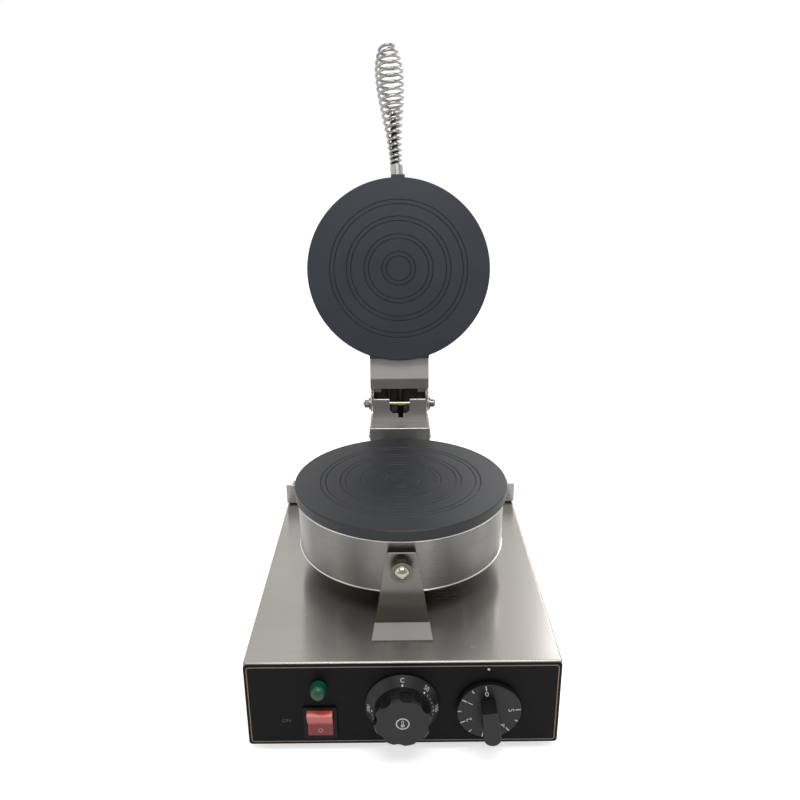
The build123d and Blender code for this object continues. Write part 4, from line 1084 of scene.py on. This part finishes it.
@dataclass
class Palette:
    """All finishes of the appliance, each made once."""

    lid_centre: Point3 = (0.0, 118.5 * MM, 343.8 * MM)
    lid_axis: Point3 = (0.0, 0.9432, -0.3322)
    drum_centre: Point3 = (0.0, -56.6 * MM, 175.4 * MM)
    made: Dict[str, bpy.types.Material] = field(default_factory=dict)

    def __post_init__(self) -> None:
        """Build the materials."""
        for finish in self.metals() + self.plastics() + self.prints():
            self.made[finish.name] = finish.build()
            log.info("finish %s", finish.name)

    def __getitem__(self, name: str) -> bpy.types.Material:
        """Return the finish with that name."""
        return self.made[name]

    def metals(self) -> List[Finish]:
        """List the sheets, platings and coatings.

        Returns:
            The finishes.
        """
        return [
            BrushedSteel(),
            # The lower drum gets painted reflection bands in its tone.
            BrushedSteel("spun_stainless_lower", (0.34, 0.328, 0.300), (0.22, 0.212, 0.195),
                         Grain.ROUND, self.drum_centre, waves=0.9),
            BrushedSteel("spun_stainless_upper", (0.34, 0.328, 0.300), (0.22, 0.212, 0.195),
                         Grain.ROUND, self.lid_centre, self.lid_axis),
            # The bracket's steel is darker than the deck's, as painted shade on its face; its
            # up-facing faces get painted light.
            BrushedSteel("bracket_sheet", (0.225, 0.217, 0.197), (0.190, 0.182, 0.165),
                         Grain.LENGTHWISE, bend=0.3 * MM, flats=(0.36, 0.35, 0.325)),
            BrushedSteel("hinge_sheet", (0.50, 0.49, 0.475), (0.44, 0.431, 0.418),
                         roughness=0.36, stretch=0.6),
            StainedSteel(axis=self.lid_axis),
            # The chrome gets painted shade between its coil turns.
            SmoothMetal("polished_chrome", (0.50, 0.49, 0.47), (0.34, 0.33, 0.32), 0.10, 0.03,
                        6.0 * MM),
            # Painted highlight: the beads' pale finish stands in for light caught by rolled edges.
            SmoothMetal("rolled_edge_highlight", (0.80, 0.78, 0.74), (0.70, 0.68, 0.64), 0.24, 0.03),
            SmoothMetal("plated_fastener", (0.56, 0.53, 0.43), (0.42, 0.39, 0.30), 0.22, 0.06),
            SmoothMetal("passivated_pin", (0.60, 0.57, 0.40), (0.40, 0.37, 0.20), 0.20, 0.06,
                        half_width=24.0 * MM),
            # The dome gets painted shade near other parts.
            SmoothMetal("nickel_dome", (0.58, 0.555, 0.46), (0.44, 0.415, 0.33), 0.11, 0.03,
                        2.5 * MM),
            SmoothMetal("washer_steel", (0.17, 0.162, 0.128), (0.12, 0.114, 0.088), 0.20, 0.04,
                        edge=0.5 * MM),
            SmoothMetal("zinc_nut", (0.34, 0.34, 0.34), (0.22, 0.22, 0.22), 0.26, 0.06),
            SmoothMetal("ferrule_steel", (0.50, 0.49, 0.47), (0.42, 0.41, 0.39), 0.34, 0.06),
            SmoothMetal("turned_brass", (0.74, 0.58, 0.32), (0.55, 0.42, 0.22), 0.22, 0.08),
            SmoothMetal("zinc_plate", (0.55, 0.56, 0.57), (0.42, 0.43, 0.44), 0.38, 0.10),
            SmoothMetal("tinted_sheath", (0.30, 0.27, 0.25), (0.20, 0.17, 0.17), 0.42, 0.10),
            CoatedPlate("non_stick_lower", self.drum_centre, (0.0075, 0.0090, 0.0140),
                        (0.0170, 0.0180, 0.0200)),
            CoatedPlate("non_stick_upper", self.lid_centre, (0.0110, 0.0145, 0.0235),
                        (0.0170, 0.0220, 0.0330), self.lid_axis),
            Wool(),
        ]

    def plastics(self) -> List[Finish]:
        """List the mouldings, the enamel and the rubber.

        Returns:
            The finishes.
        """
        return [
            Moulding("panel_enamel", (0.0022, 0.0022, 0.0023), (0.0036, 0.0036, 0.0037), 0.50,
                     900.0, 0.003 * MM, 0.14),
            Moulding("knob_thermoset", (0.0050, 0.0057, 0.0057), (0.0080, 0.0087, 0.0085), 0.36,
                     gloss=0.45),
            Moulding("switch_black", (0.0028, 0.0028, 0.0030), (0.0044, 0.0044, 0.0047), 0.36,
                     gloss=0.20),
            Moulding("black_rubber", (0.012, 0.012, 0.012), (0.022, 0.021, 0.020), 0.75,
                     1100.0, 0.03 * MM, 0.3),
            Moulding("cable_sheath", (0.010, 0.009, 0.009), (0.018, 0.016, 0.015), 0.46),
            Moulding("control_case", (0.050, 0.050, 0.052), (0.070, 0.068, 0.066), 0.50),
            Moulding("terminal_white", (0.70, 0.68, 0.61), (0.60, 0.57, 0.50), 0.45),
            Moulding("wire_sleeve", (0.42, 0.06, 0.035), (0.32, 0.045, 0.03), 0.55),
            # The rocker and the lens get painted light towards their tops.
            TintedLens("red_rocker", (0.170, 0.012, 0.014), (0.560, 0.056, 0.040),
                       28.5 * MM, 31.5 * MM, ribs=18.0),
            TintedLens("green_lens", (0.0016, 0.046, 0.020), (0.0026, 0.080, 0.034),
                       60.0 * MM, 72.0 * MM, 0.34, 0.15),
        ]

    def prints(self) -> List[Finish]:
        """List the inks.

        Returns:
            The finishes.
        """
        return [
            Ink("white_print", (0.56, 0.56, 0.54), (0.30, 0.30, 0.29)),
            Ink("grey_print", (0.090, 0.084, 0.074), (0.050, 0.047, 0.042)),
            Ink("bronze_line", (0.235, 0.170, 0.120), (0.160, 0.112, 0.080)),
            Ink("pale_mark", (0.50, 0.28, 0.25), (0.38, 0.18, 0.16)),
        ]


def roll_edge(palette: Palette, name: str, beads: Sequence[Solid], body: Body) -> None:
    """Build a rolled edge from round beads, whose pale finish paints its highlight.

    Args:
        palette: Finishes of the appliance.
        name: Name of the piece.
        beads: Beads in the row frame.
        body: Body that carries the edge.
    """
    make_piece(name, beads, palette["rolled_edge_highlight"], body, smooth=True)


@dataclass
class ControlPanel:
    """Black panel with its border line, pointer and lamp."""

    palette: Palette
    line_inset: float = 2.0 * MM
    line_width: float = 0.8 * MM
    line_corner: float = 2.6 * MM
    print_depth: float = 0.05 * MM
    pointer_x: float = 68.6 * MM
    pointer_z: float = 81.1 * MM
    pointer_radius: float = 1.1 * MM
    legend_x: float = -95.2 * MM
    legend_z: float = 32.4 * MM
    legend_size: float = 4.8 * MM

    def on_panel(self, point: Point3) -> Vector:
        """Place flat coordinates on the panel's front.

        Args:
            point: Across, up and outward distances.

        Returns:
            The place in the row frame.
        """
        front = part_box("front_panel")[0].y
        return Vector((point[0], front - point[2], point[1]))

    def border(self) -> None:
        """Print the line round the panel."""
        low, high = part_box("front_panel")
        width = high.x - low.x - 2 * self.line_inset
        height = high.z - low.z - 2 * self.line_inset
        outer = box_outline(width, height, self.line_corner)
        inner = box_outline(width - 2 * self.line_width, height - 2 * self.line_width,
                            self.line_corner - self.line_width)
        line = moved(band(outer, inner, self.print_depth), 0.0, (low.z + high.z) / 2)
        make_piece("panel_border", [placed(line, self.on_panel)], self.palette["bronze_line"],
                   Body.BASE)

    def marks(self) -> None:
        """Print the timer's pointer and the switch's legend."""
        dot = moved(prism(round_outline(self.pointer_radius), self.print_depth),
                    self.pointer_x, self.pointer_z)
        make_piece("timer_pointer", [placed(dot, self.on_panel)], self.palette["white_print"],
                   Body.BASE)
        legend = moved(lettering("ON", self.legend_size, self.print_depth),
                       self.legend_x, self.legend_z)
        make_piece("switch_legend", [placed(legend, self.on_panel)], self.palette["grey_print"],
                   Body.BASE)

    def build(self) -> None:
        """Print the panel and dress its nodes."""
        self.border()
        self.marks()
        dress(self.palette["panel_enamel"], "front_panel")
        dress(self.palette["green_lens"], "indicator_lens")
        dress(self.palette["switch_black"], "indicator_body")


@dataclass
class TemperatureKnob:
    """Fluted knob with a printed cone skirt and a mark on its front."""

    palette: Palette
    outer_radius: float = 30.2 * MM
    outer_depth: float = 1.0 * MM
    inner_radius: float = 23.8 * MM
    inner_depth: float = 7.5 * MM
    dot_radius: float = 24.7 * MM
    number_radius: float = 27.5 * MM
    number_size: float = 5.0 * MM
    large_dot: float = 0.85 * MM
    small_dot: float = 0.45 * MM
    dot_corners: Tuple[int, int] = (14, 10)
    print_depth: float = 0.05 * MM
    first_turn: float = 45.0
    last_number: int = 6
    step: int = 50
    gaps: int = 5
    ring_radius: float = 5.4 * MM
    ring_width: float = 0.95 * MM
    ring_corners: int = 48
    bulb_radius: float = 1.55 * MM
    bulb_drop: float = 1.7 * MM
    stem_size: Point2 = (1.7 * MM, 5.6 * MM)

    def on_skirt(self, turn: float, radius: float) -> Place:
        """Make the placing function for a mark on the cone.

        Args:
            turn: Clockwise angle from the top, in degrees.
            radius: Distance of the mark's middle from the axis.

        Returns:
            A function from flat coordinates to the row frame.
        """
        axis, seat = axis_of("temperature_knob_turn"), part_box("temperature_knob")[1].y
        fall = math.atan2(self.inner_depth - self.outer_depth,
                          self.outer_radius - self.inner_radius)
        slope_cos, slope_sin = math.cos(fall), math.sin(fall)
        middle = self.outer_depth + (self.outer_radius - radius) * math.tan(fall)

        def place(point: Point3) -> Vector:
            """Place one point of the mark on the cone.

            Args:
                point: Across, up and outward distances from the mark's middle.

            Returns:
                The place in the row frame.
            """
            reach = radius + point[1] * slope_cos + point[2] * slope_sin
            depth = middle - point[1] * slope_sin + point[2] * slope_cos
            angle = math.radians(turn) + point[0] / reach
            return Vector((
                axis.x + reach * math.sin(angle),
                seat - depth,
                axis.z + reach * math.cos(angle),
            ))

        return place

    def on_front(self, point: Point3) -> Vector:
        """Place flat coordinates on the knob's front face.

        Args:
            point: Across, up and outward distances from the knob's axis.

        Returns:
            The place in the row frame.
        """
        axis, front = axis_of("temperature_knob_turn"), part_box("temperature_knob")[0].y
        return Vector((axis.x + point[0], front - point[2], axis.z + point[1]))

    def dial(self) -> List[Solid]:
        """Set the numbers and dots round the cone.

        Returns:
            The print's solids in the row frame.
        """
        large, small = (
            prism(round_outline(radius, corners), self.print_depth)
            for radius, corners in zip((self.large_dot, self.small_dot), self.dot_corners)
        )
        solids = [
            placed(large, self.on_skirt(0.0, self.dot_radius)),
            placed(lettering("C", self.number_size, self.print_depth),
                   self.on_skirt(0.0, self.number_radius)),
        ]
        for count in range(1, self.last_number + 1):
            turn = self.first_turn * count
            number = lettering(str(self.step * count), self.number_size, self.print_depth)
            solids.append(placed(large, self.on_skirt(turn, self.dot_radius)))
            solids.append(placed(number, self.on_skirt(turn, self.number_radius)))
            if count < self.last_number:
                solids += [
                    placed(small, self.on_skirt(turn + self.first_turn * part / self.gaps,
                                                self.dot_radius))
                    for part in range(1, self.gaps)
                ]
        return solids

    def thermometer(self) -> List[Solid]:
        """Draw the ring and the thermometer in it.

        Returns:
            The mark's solids in the row frame.
        """
        circle = ring_band(self.ring_radius, self.ring_width, self.print_depth, self.ring_corners)
        bulb = prism(round_outline(self.bulb_radius, centre=(0.0, -self.bulb_drop)),
                     self.print_depth)
        width, height = self.stem_size
        stroke = width / 4
        stem = band(box_outline(width, height, width / 2),
                    box_outline(width - 2 * stroke, height - 2 * stroke, width / 2 - stroke),
                    self.print_depth)
        return [placed(part, self.on_front) for part in (circle, bulb, moved(stem, 0.0, stroke))]

    def build(self) -> None:
        """Print the dial and dress the knob."""
        white = self.palette["white_print"]
        make_piece("temperature_dial_print", self.dial(), white, Body.TEMPERATURE)
        make_piece("temperature_mark", self.thermometer(), white, Body.TEMPERATURE)
        dress(self.palette["knob_thermoset"], "temperature_knob")
        dress(self.palette["plated_fastener"], "thermostat_shaft", "timer_shaft", "control_screws")
        dress(self.palette["control_case"], "thermostat_body", "timer_body")


@dataclass
class TimerKnob:
    """Disc knob with minute marks under a bar grip."""

    palette: Palette
    disc_depth: float = 5.0 * MM
    rest_turn: float = -7.5
    minute: float = -53.5
    minutes: int = 5
    long_radius: float = 23.2 * MM
    long_tick: float = 4.4 * MM
    short_radius: float = 23.9 * MM
    short_tick: float = 3.0 * MM
    tick_width: float = 0.95 * MM
    number_radius: float = 17.8 * MM
    number_size: float = 6.6 * MM
    print_depth: float = 0.05 * MM

    def on_disc(self, turn: float, radius: float) -> Place:
        """Make the placing function for a mark on the disc.

        Args:
            turn: Clockwise angle from the top, in degrees.
            radius: Distance of the mark's middle from the axis.

        Returns:
            A function from flat coordinates to the row frame.
        """
        axis = axis_of("timer_knob_turn")
        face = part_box("timer_knob")[1].y - self.disc_depth
        angle = math.radians(turn)
        across = Vector((math.cos(angle), 0.0, -math.sin(angle)))
        outward = Vector((math.sin(angle), 0.0, math.cos(angle)))
        middle = Vector((axis.x, face, axis.z)) + outward * radius

        def place(point: Point3) -> Vector:
            """Place one point of the mark on the disc."""
            return middle + across * point[0] + outward * point[1] - Vector((0, point[2], 0))

        return place

    def dial(self) -> List[Solid]:
        """Set the minute marks and their numbers round the disc.

        Returns:
            The print's solids in the row frame.
        """
        long_mark, short_mark = (
            prism(box_outline(self.tick_width, length, self.tick_width / 3), self.print_depth)
            for length in (self.long_tick, self.short_tick)
        )
        solids = []
        for count in range(self.minutes + 1):
            turn = self.rest_turn + self.minute * count
            number = lettering(str(count), self.number_size, self.print_depth)
            solids.append(placed(long_mark, self.on_disc(turn, self.long_radius)))
            solids.append(placed(number, self.on_disc(turn, self.number_radius)))
            if count < self.minutes:
                half = self.on_disc(turn + self.minute / 2, self.short_radius)
                solids.append(placed(short_mark, half))
        return solids

    def build(self) -> None:
        """Print the minute marks and dress the knob."""
        make_piece("timer_dial_print", self.dial(), self.palette["white_print"], Body.TIMER)
        dress(self.palette["knob_thermoset"], "timer_knob")


@dataclass
class PowerSwitch:
    """Rocker with its two marks in a black frame."""

    palette: Palette
    mark_drop: float = 6.6 * MM
    ring_radius: float = 1.9 * MM
    ring_width: float = 0.5 * MM
    ring_corners: int = 32
    bar_size: Point2 = (0.5 * MM, 3.6 * MM)
    lean: float = 24.0
    face_reach: float = 3.5 * MM
    print_depth: float = 0.05 * MM

    def fold(self) -> Vector:
        """Find the middle of the fold between the rocker's faces.

        Returns:
            The place in the row frame.
        """
        pivot = axis_of("power_rocker_tilt")
        drop = self.face_reach * math.tan(math.radians(self.lean / 2))
        return Vector((pivot.x, pivot.y - self.face_reach, pivot.z - drop))

    def on_lower(self, point: Point3) -> Vector:
        """Place flat coordinates on the rocker's lower face."""
        return self.fold() + Vector((point[0], -point[2], point[1] - self.mark_drop))

    def on_upper(self, point: Point3) -> Vector:
        """Place flat coordinates on the rocker's upper face.

        Args:
            point: Across, up and outward distances.

        Returns:
            The place in the row frame.
        """
        tilt = math.radians(self.lean)
        across = Vector(RIGHT) * point[0]
        up = Vector((0.0, -math.sin(tilt), math.cos(tilt))) * (self.mark_drop + point[1])
        out = Vector((0.0, -math.cos(tilt), -math.sin(tilt))) * point[2]
        return self.fold() + up + out + across

    def build(self) -> None:
        """Print the marks and dress the switch."""
        pale = self.palette["pale_mark"]
        circle = ring_band(self.ring_radius, self.ring_width, self.print_depth, self.ring_corners)
        make_piece("rocker_off_mark", [placed(circle, self.on_lower)], pale, Body.ROCKER)
        bar = prism(box_outline(*self.bar_size, self.bar_size[0] / 3), self.print_depth)
        make_piece("rocker_on_mark", [placed(bar, self.on_upper)], pale, Body.ROCKER)
        dress(self.palette["red_rocker"], "power_rocker")
        dress(self.palette["switch_black"], "switch_body")


@dataclass
class BaseBox:
    """Steel base with its post, rear cover, feet and mains parts."""

    palette: Palette
    bead: float = 0.75 * MM
    notch_half: float = 11.0 * MM
    bracket_top: float = 206.0 * MM
    post_lip: float = 179.0 * MM

    def edges(self) -> None:
        """Roll painted-highlight edges on the hinge bracket's notched front and the post's lip."""
        low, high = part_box("hinge_bracket")
        front = low.y + self.bead
        ends = (self.notch_half + self.bead, high.x - self.bead)
        beads = [
            straight_bead(*((side * x, front, self.bracket_top) for x in ends), self.bead)
            for side in (-1, 1)
        ]
        roll_edge(self.palette, "bracket_rolled_highlight_edges", beads, Body.BASE)
        low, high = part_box("hinge_post")
        front, lip = low.y + self.bead, self.post_lip - self.bead / 2
        ends = (low.x + self.bead, high.x - self.bead)
        line = straight_bead(*((x, front, lip) for x in ends), self.bead)
        roll_edge(self.palette, "post_rolled_highlight_edge", [line], Body.BASE)

    def build(self) -> None:
        """Roll the highlight edges and dress the base's nodes."""
        self.edges()
        dress(self.palette["brushed_stainless_sheet"], "base_housing", "rear_cover")
        dress(self.palette["bracket_sheet"], "front_support_bracket")
        dress(self.palette["hinge_sheet"], "hinge_post", "post_rear_cover", "hinge_bracket")
        dress(self.palette["zinc_plate"], "base_plate")
        dress(self.palette["black_rubber"], "rubber_feet", "rear_cover_seal")
        dress(self.palette["plated_fastener"], "foot_screws", "cover_screws", "deck_nuts",
              "post_bolts", "bracket_screws", "rear_conduit", "conduit_nuts")
        dress(self.palette["switch_black"], "cord_gland", "gland_nut")
        dress(self.palette["turned_brass"], "earth_stud", "earth_nuts")
        dress(self.palette["terminal_white"], "terminal_block")
        dress(self.palette["wire_sleeve"], "wiring_harness")


@dataclass
class Heads:
    """Both cooking heads with the parts inside them."""

    palette: Palette
    drum_radius: float = 96.6 * MM
    plate_thickness: float = 9.7 * MM
    drum_height: float = 52.4 * MM
    rim_bead: float = 0.9 * MM
    rim_drop: float = 1.6 * MM
    seam_bead: float = 0.7 * MM
    seam_rise: float = 2.2 * MM

    def beads(self, name: str, centre: Point3, axis: Point3, body: Body) -> None:
        """Roll painted-highlight beads on the drum's rim under the plate and on its bottom edge.

        Args:
            name: First word of the pieces' names.
            centre: Middle of the cooking face.
            axis: Unit direction from the cooking face into the drum.
            body: Body that carries the drum.
        """
        rim_depth = self.plate_thickness + self.rim_drop
        bottom_bead_depth = self.plate_thickness + self.drum_height - self.seam_rise
        for edge, radius, bead, depth in (
            ("rolled_rim_highlight", self.drum_radius + self.rim_bead, self.rim_bead, rim_depth),
            ("bottom_edge_highlight", self.drum_radius, self.seam_bead, bottom_bead_depth),
        ):
            middle = tuple(Vector(centre) + Vector(axis) * depth)
            roll_edge(self.palette, f"{name}_{edge}", [ring_bead(radius, bead, middle, axis)], body)

    def build(self) -> None:
        """Roll the drums' highlight edges and dress the heads' nodes."""
        self.beads("lower_drum", self.palette.drum_centre, (0.0, 0.0, -1.0), Body.BASE)
        self.beads("upper_drum", self.palette.lid_centre, self.palette.lid_axis, Body.LID)
        dress(self.palette["non_stick_lower"], "lower_plate")
        dress(self.palette["non_stick_upper"], "upper_plate")
        dress(self.palette["spun_stainless_lower"], "lower_drum")
        dress(self.palette["spun_stainless_upper"], "upper_drum")
        dress(self.palette["tinted_sheath"], "lower_heating_element", "upper_heating_element")
        dress(self.palette["mineral_wool"], "lower_insulation", "upper_insulation")
        dress(self.palette["plated_fastener"], "lower_plate_screws", "upper_plate_screws",
              "drum_stud", "drum_spacer", "drum_stud_nuts")
        dress(self.palette["nickel_dome"], "dome_nut")
        dress(self.palette["washer_steel"], "stud_washer")


@dataclass
class LidHinge:
    """Lid arm, pin and the two cables through the hinge."""

    palette: Palette
    # Place across the hinge and radius of each cable.
    routes: Tuple[Point2, ...] = ((-11.7 * MM, 2.0 * MM), (1.0 * MM, 3.25 * MM))
    cable_y: float = 99.0 * MM
    cable_foot: float = 140.0 * MM
    cable_turn: float = 210.1 * MM
    cable_end: Point2 = (112.9 * MM, 249.7 * MM)
    straight: float = 20.0 * MM
    bend_from: float = 180.0 * MM
    bend_to: float = 218.0 * MM
    order: int = 3
    facets: int = 8

    def run(self, x: float) -> List[Point3]:
        """List the points that one cable follows.

        Args:
            x: Place of the cable across the hinge.

        Returns:
            The points from the post to the upper drum.
        """
        turn = Vector((x, self.cable_y, self.cable_turn))
        end = Vector((x, *self.cable_end))
        upward = (end - turn).normalized() * self.straight
        return [
            (x, self.cable_y, self.cable_foot),
            (x, self.cable_y, self.cable_turn - 2 * self.straight),
            (x, self.cable_y, self.cable_turn - self.straight),
            tuple(turn),
            tuple(turn + upward),
            tuple(end),
        ]

    def cable(self, name: str, x: float, radius: float) -> bpy.types.Object:
        """Draw one cable through the hinge.

        Args:
            name: Name of the piece.
            x: Place of the cable across the hinge.
            radius: Radius of the cable.

        Returns:
            The cable as a mesh.
        """
        points = self.run(x)
        curve = bpy.data.curves.new(name, "CURVE")
        curve.dimensions = "3D"
        curve.bevel_depth = radius
        curve.bevel_resolution = self.facets
        curve.use_fill_caps = True
        spline = curve.splines.new("NURBS")
        spline.points.add(len(points) - 1)
        for target, point in zip(spline.points, points):
            target.co = (*point, 1.0)
        spline.order_u = self.order
        spline.use_endpoint_u = True
        spline.resolution_u = 2 * self.facets
        carrier = bpy.data.objects.new(name, curve)
        mesh = bpy.data.meshes.new_from_object(carrier)
        bpy.data.objects.remove(carrier)
        bpy.data.curves.remove(curve)
        mesh.materials.clear()
        mesh.materials.append(self.palette["cable_sheath"])
        piece = bpy.data.objects.new(name, mesh)
        bpy.context.scene.collection.objects.link(piece)
        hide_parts("lid_cables")
        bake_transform(piece)
        log.info("piece %s: %d faces from base to lid", name, len(mesh.polygons))
        return piece

    def build(self) -> None:
        """Draw the cables and dress the hinge's nodes."""
        for index, (x, radius) in enumerate(self.routes):
            self.cable(f"lid_cable_{index + 1}", x, radius)
        dress(self.palette["hinge_sheet"], "lid_hinge_arm")
        dress(self.palette["shade_painted_steel"], "lid_arm_cover")
        dress(self.palette["zinc_nut"], "lid_arm_screws", "hinge_washers", "hinge_pin_nut")
        dress(self.palette["passivated_pin"], "hinge_pin")


@dataclass
class CoilHandle:
    """Coil handle with its rod and ferrule."""

    palette: Palette

    def build(self) -> None:
        """Dress the handle's nodes."""
        dress(self.palette["polished_chrome"], "handle_coil", "handle_rod")
        dress(self.palette["ferrule_steel"], "handle_ferrule")
        dress(self.palette["plated_fastener"], "handle_nut")


@dataclass(frozen=True)
class Lamp:
    """Soft white lamp: its place and aim, the size of its face and its power in watts."""

    name: str
    place: Point3
    aim: Point3
    size: Point2
    power: float

    def hang(self) -> None:
        """Hang the lamp."""
        data = bpy.data.lights.new(self.name, "AREA")
        data.shape = "RECTANGLE"
        data.size, data.size_y = self.size
        data.energy = self.power
        lamp = bpy.data.objects.new(self.name, data)
        lamp.location = self.place
        ahead = Vector(self.aim) - Vector(self.place)
        lamp.rotation_euler = ahead.to_track_quat("-Z", "Y").to_euler()
        bpy.context.scene.collection.objects.link(lamp)
        log.info("lamp %s: %.1f W", self.name, self.power)


@dataclass
class Studio:
    """Pale floor, soft lamps, world and camera."""

    eye: Point3 = (-2.4 * MM, -709.5 * MM, 486.8 * MM)
    yaw: float = 0.2
    pitch: float = -19.6
    roll: float = -0.4
    lens: float = 34.27
    sensor: float = 36.0
    floor_size: float = 12.0
    floor_lift: float = 0.50
    floor_gloss: float = 0.08
    floor_grain: float = 60.0
    floor_colours: Tuple[Colour, Colour] = ((0.93, 0.93, 0.93), (0.91, 0.91, 0.91))
    floor_roughness: float = 0.9
    floor_specular: float = 0.1
    soft_light: float = 0.68
    room_front: float = 0.42
    room_back: float = 1.0
    room_span: Point2 = (-0.6, 0.35)
    clip_start: float = 10.0 * MM
    lamps: Tuple[Lamp, ...] = (
        Lamp("overhead", (0.15, -0.75, 1.75), (0.0, -0.05, 0.15), (1.2, 0.8), 12.0),
        Lamp("left_fill", (-1.6, -0.9, 0.9), (0.0, 0.0, 0.2), (0.8, 1.2), 2.5),
        Lamp("right_back", (0.85, 1.5, 1.35), (0.0, -0.1, 0.1), (0.6, 0.8), 10.0),
    )

    def camera(self) -> None:
        """Put the camera where the photograph was taken."""
        data = bpy.data.cameras.new("photo_camera")
        data.lens = self.lens
        data.sensor_width = self.sensor
        data.clip_start = self.clip_start
        yaw, pitch, roll = (math.radians(v) for v in (self.yaw, self.pitch, self.roll))
        ahead = Vector((
            math.sin(yaw) * math.cos(pitch), math.cos(yaw) * math.cos(pitch), math.sin(pitch)
        ))
        right = Vector((math.cos(yaw), -math.sin(yaw), 0.0))
        up = right.cross(ahead)
        level_right = math.cos(roll) * right + math.sin(roll) * up
        level_up = -math.sin(roll) * right + math.cos(roll) * up
        turn = Matrix((level_right, level_up, -ahead)).transposed().to_4x4()
        view = bpy.data.objects.new("photo_camera", data)
        view.matrix_world = Matrix.Translation(self.eye) @ turn
        bpy.context.scene.collection.objects.link(view)
        bpy.context.scene.camera = view
        log.info("camera at %s", tuple(view.location))

    def floor(self) -> None:
        """Lay the pale floor, which keeps the object's shadow."""
        g = Graph("pale_floor")
        grain = g.noise(g.place, self.floor_grain, 3.0)
        path = g.node("LightPath")
        seen = g.sums("MAXIMUM", path.outputs["Is Camera Ray"],
                      path.outputs["Is Transmission Ray"])
        lift = g.sums("MULTIPLY", seen, self.floor_lift)
        gloss = g.sums("MULTIPLY", path.outputs["Is Glossy Ray"], self.floor_gloss)
        g.surface(
            Base_Color=g.blend(grain, *self.floor_colours),
            Roughness=self.floor_roughness,
            Emission_Color=(1.0, 1.0, 1.0),
            Emission_Strength=g.sums("ADD", lift, gloss),
            Specular_IOR_Level=self.floor_specular,
        )
        half = self.floor_size / 2
        mesh = bpy.data.meshes.new("floor")
        mesh.from_pydata(
            [(-half, -half, 0), (half, -half, 0), (half, half, 0), (-half, half, 0)],
            [], [[0, 1, 2, 3]],
        )
        mesh.materials.append(g.material)
        floor = bpy.data.objects.new("floor", mesh)
        bpy.context.scene.collection.objects.link(floor)

    def world(self) -> None:
        """Surround the scene with white for the eye, and with a soft room for light and metal."""
        world = bpy.data.worlds.new("studio")
        world.use_nodes = True
        tree = world.node_tree
        tree.nodes.clear()
        output = tree.nodes.new("ShaderNodeOutputWorld")
        path = tree.nodes.new("ShaderNodeLightPath")
        coords = tree.nodes.new("ShaderNodeTexCoord")
        split = tree.nodes.new("ShaderNodeSeparateXYZ")
        tree.links.new(coords.outputs["Generated"], split.inputs[0])
        room = tree.nodes.new("ShaderNodeMapRange")
        room.interpolation_type = "SMOOTHSTEP"
        tree.links.new(split.outputs[1], room.inputs["Value"])
        room.inputs["From Min"].default_value = self.room_span[0]
        room.inputs["From Max"].default_value = self.room_span[1]
        room.inputs["To Min"].default_value = self.room_front
        room.inputs["To Max"].default_value = self.room_back
        seen = tree.nodes.new("ShaderNodeMath")
        seen.operation = "MAXIMUM"
        tree.links.new(path.outputs["Is Camera Ray"], seen.inputs[0])
        tree.links.new(path.outputs["Is Transmission Ray"], seen.inputs[1])
        strength = tree.nodes.new("ShaderNodeMix")
        strength.inputs[2].default_value = self.soft_light
        tree.links.new(path.outputs["Is Glossy Ray"], strength.inputs[0])
        tree.links.new(room.outputs["Result"], strength.inputs[3])
        shown = tree.nodes.new("ShaderNodeMix")
        tree.links.new(seen.outputs[0], shown.inputs[0])
        tree.links.new(strength.outputs[0], shown.inputs[2])
        shown.inputs[3].default_value = 1.0
        backdrop = tree.nodes.new("ShaderNodeBackground")
        backdrop.inputs["Color"].default_value = (1.0, 1.0, 1.0, 1.0)
        tree.links.new(shown.outputs[0], backdrop.inputs["Strength"])
        tree.links.new(backdrop.outputs[0], output.inputs["Surface"])
        bpy.context.scene.world = world

    def build(self) -> None:
        """Set up the studio."""
        self.camera()
        self.floor()
        self.world()
        for lamp in self.lamps:
            lamp.hang()
        bpy.context.scene.view_settings.view_transform = "Standard"


def main() -> None:
    """Build the studio and every sub-assembly in order."""
    Studio().build()
    palette = Palette()
    for maker in (ControlPanel, TemperatureKnob, TimerKnob, PowerSwitch, BaseBox, Heads,
                  LidHinge, CoilHandle):
        maker(palette).build()
        log.info("%s is done", maker.__name__)


if __name__ == "__main__":
    main()
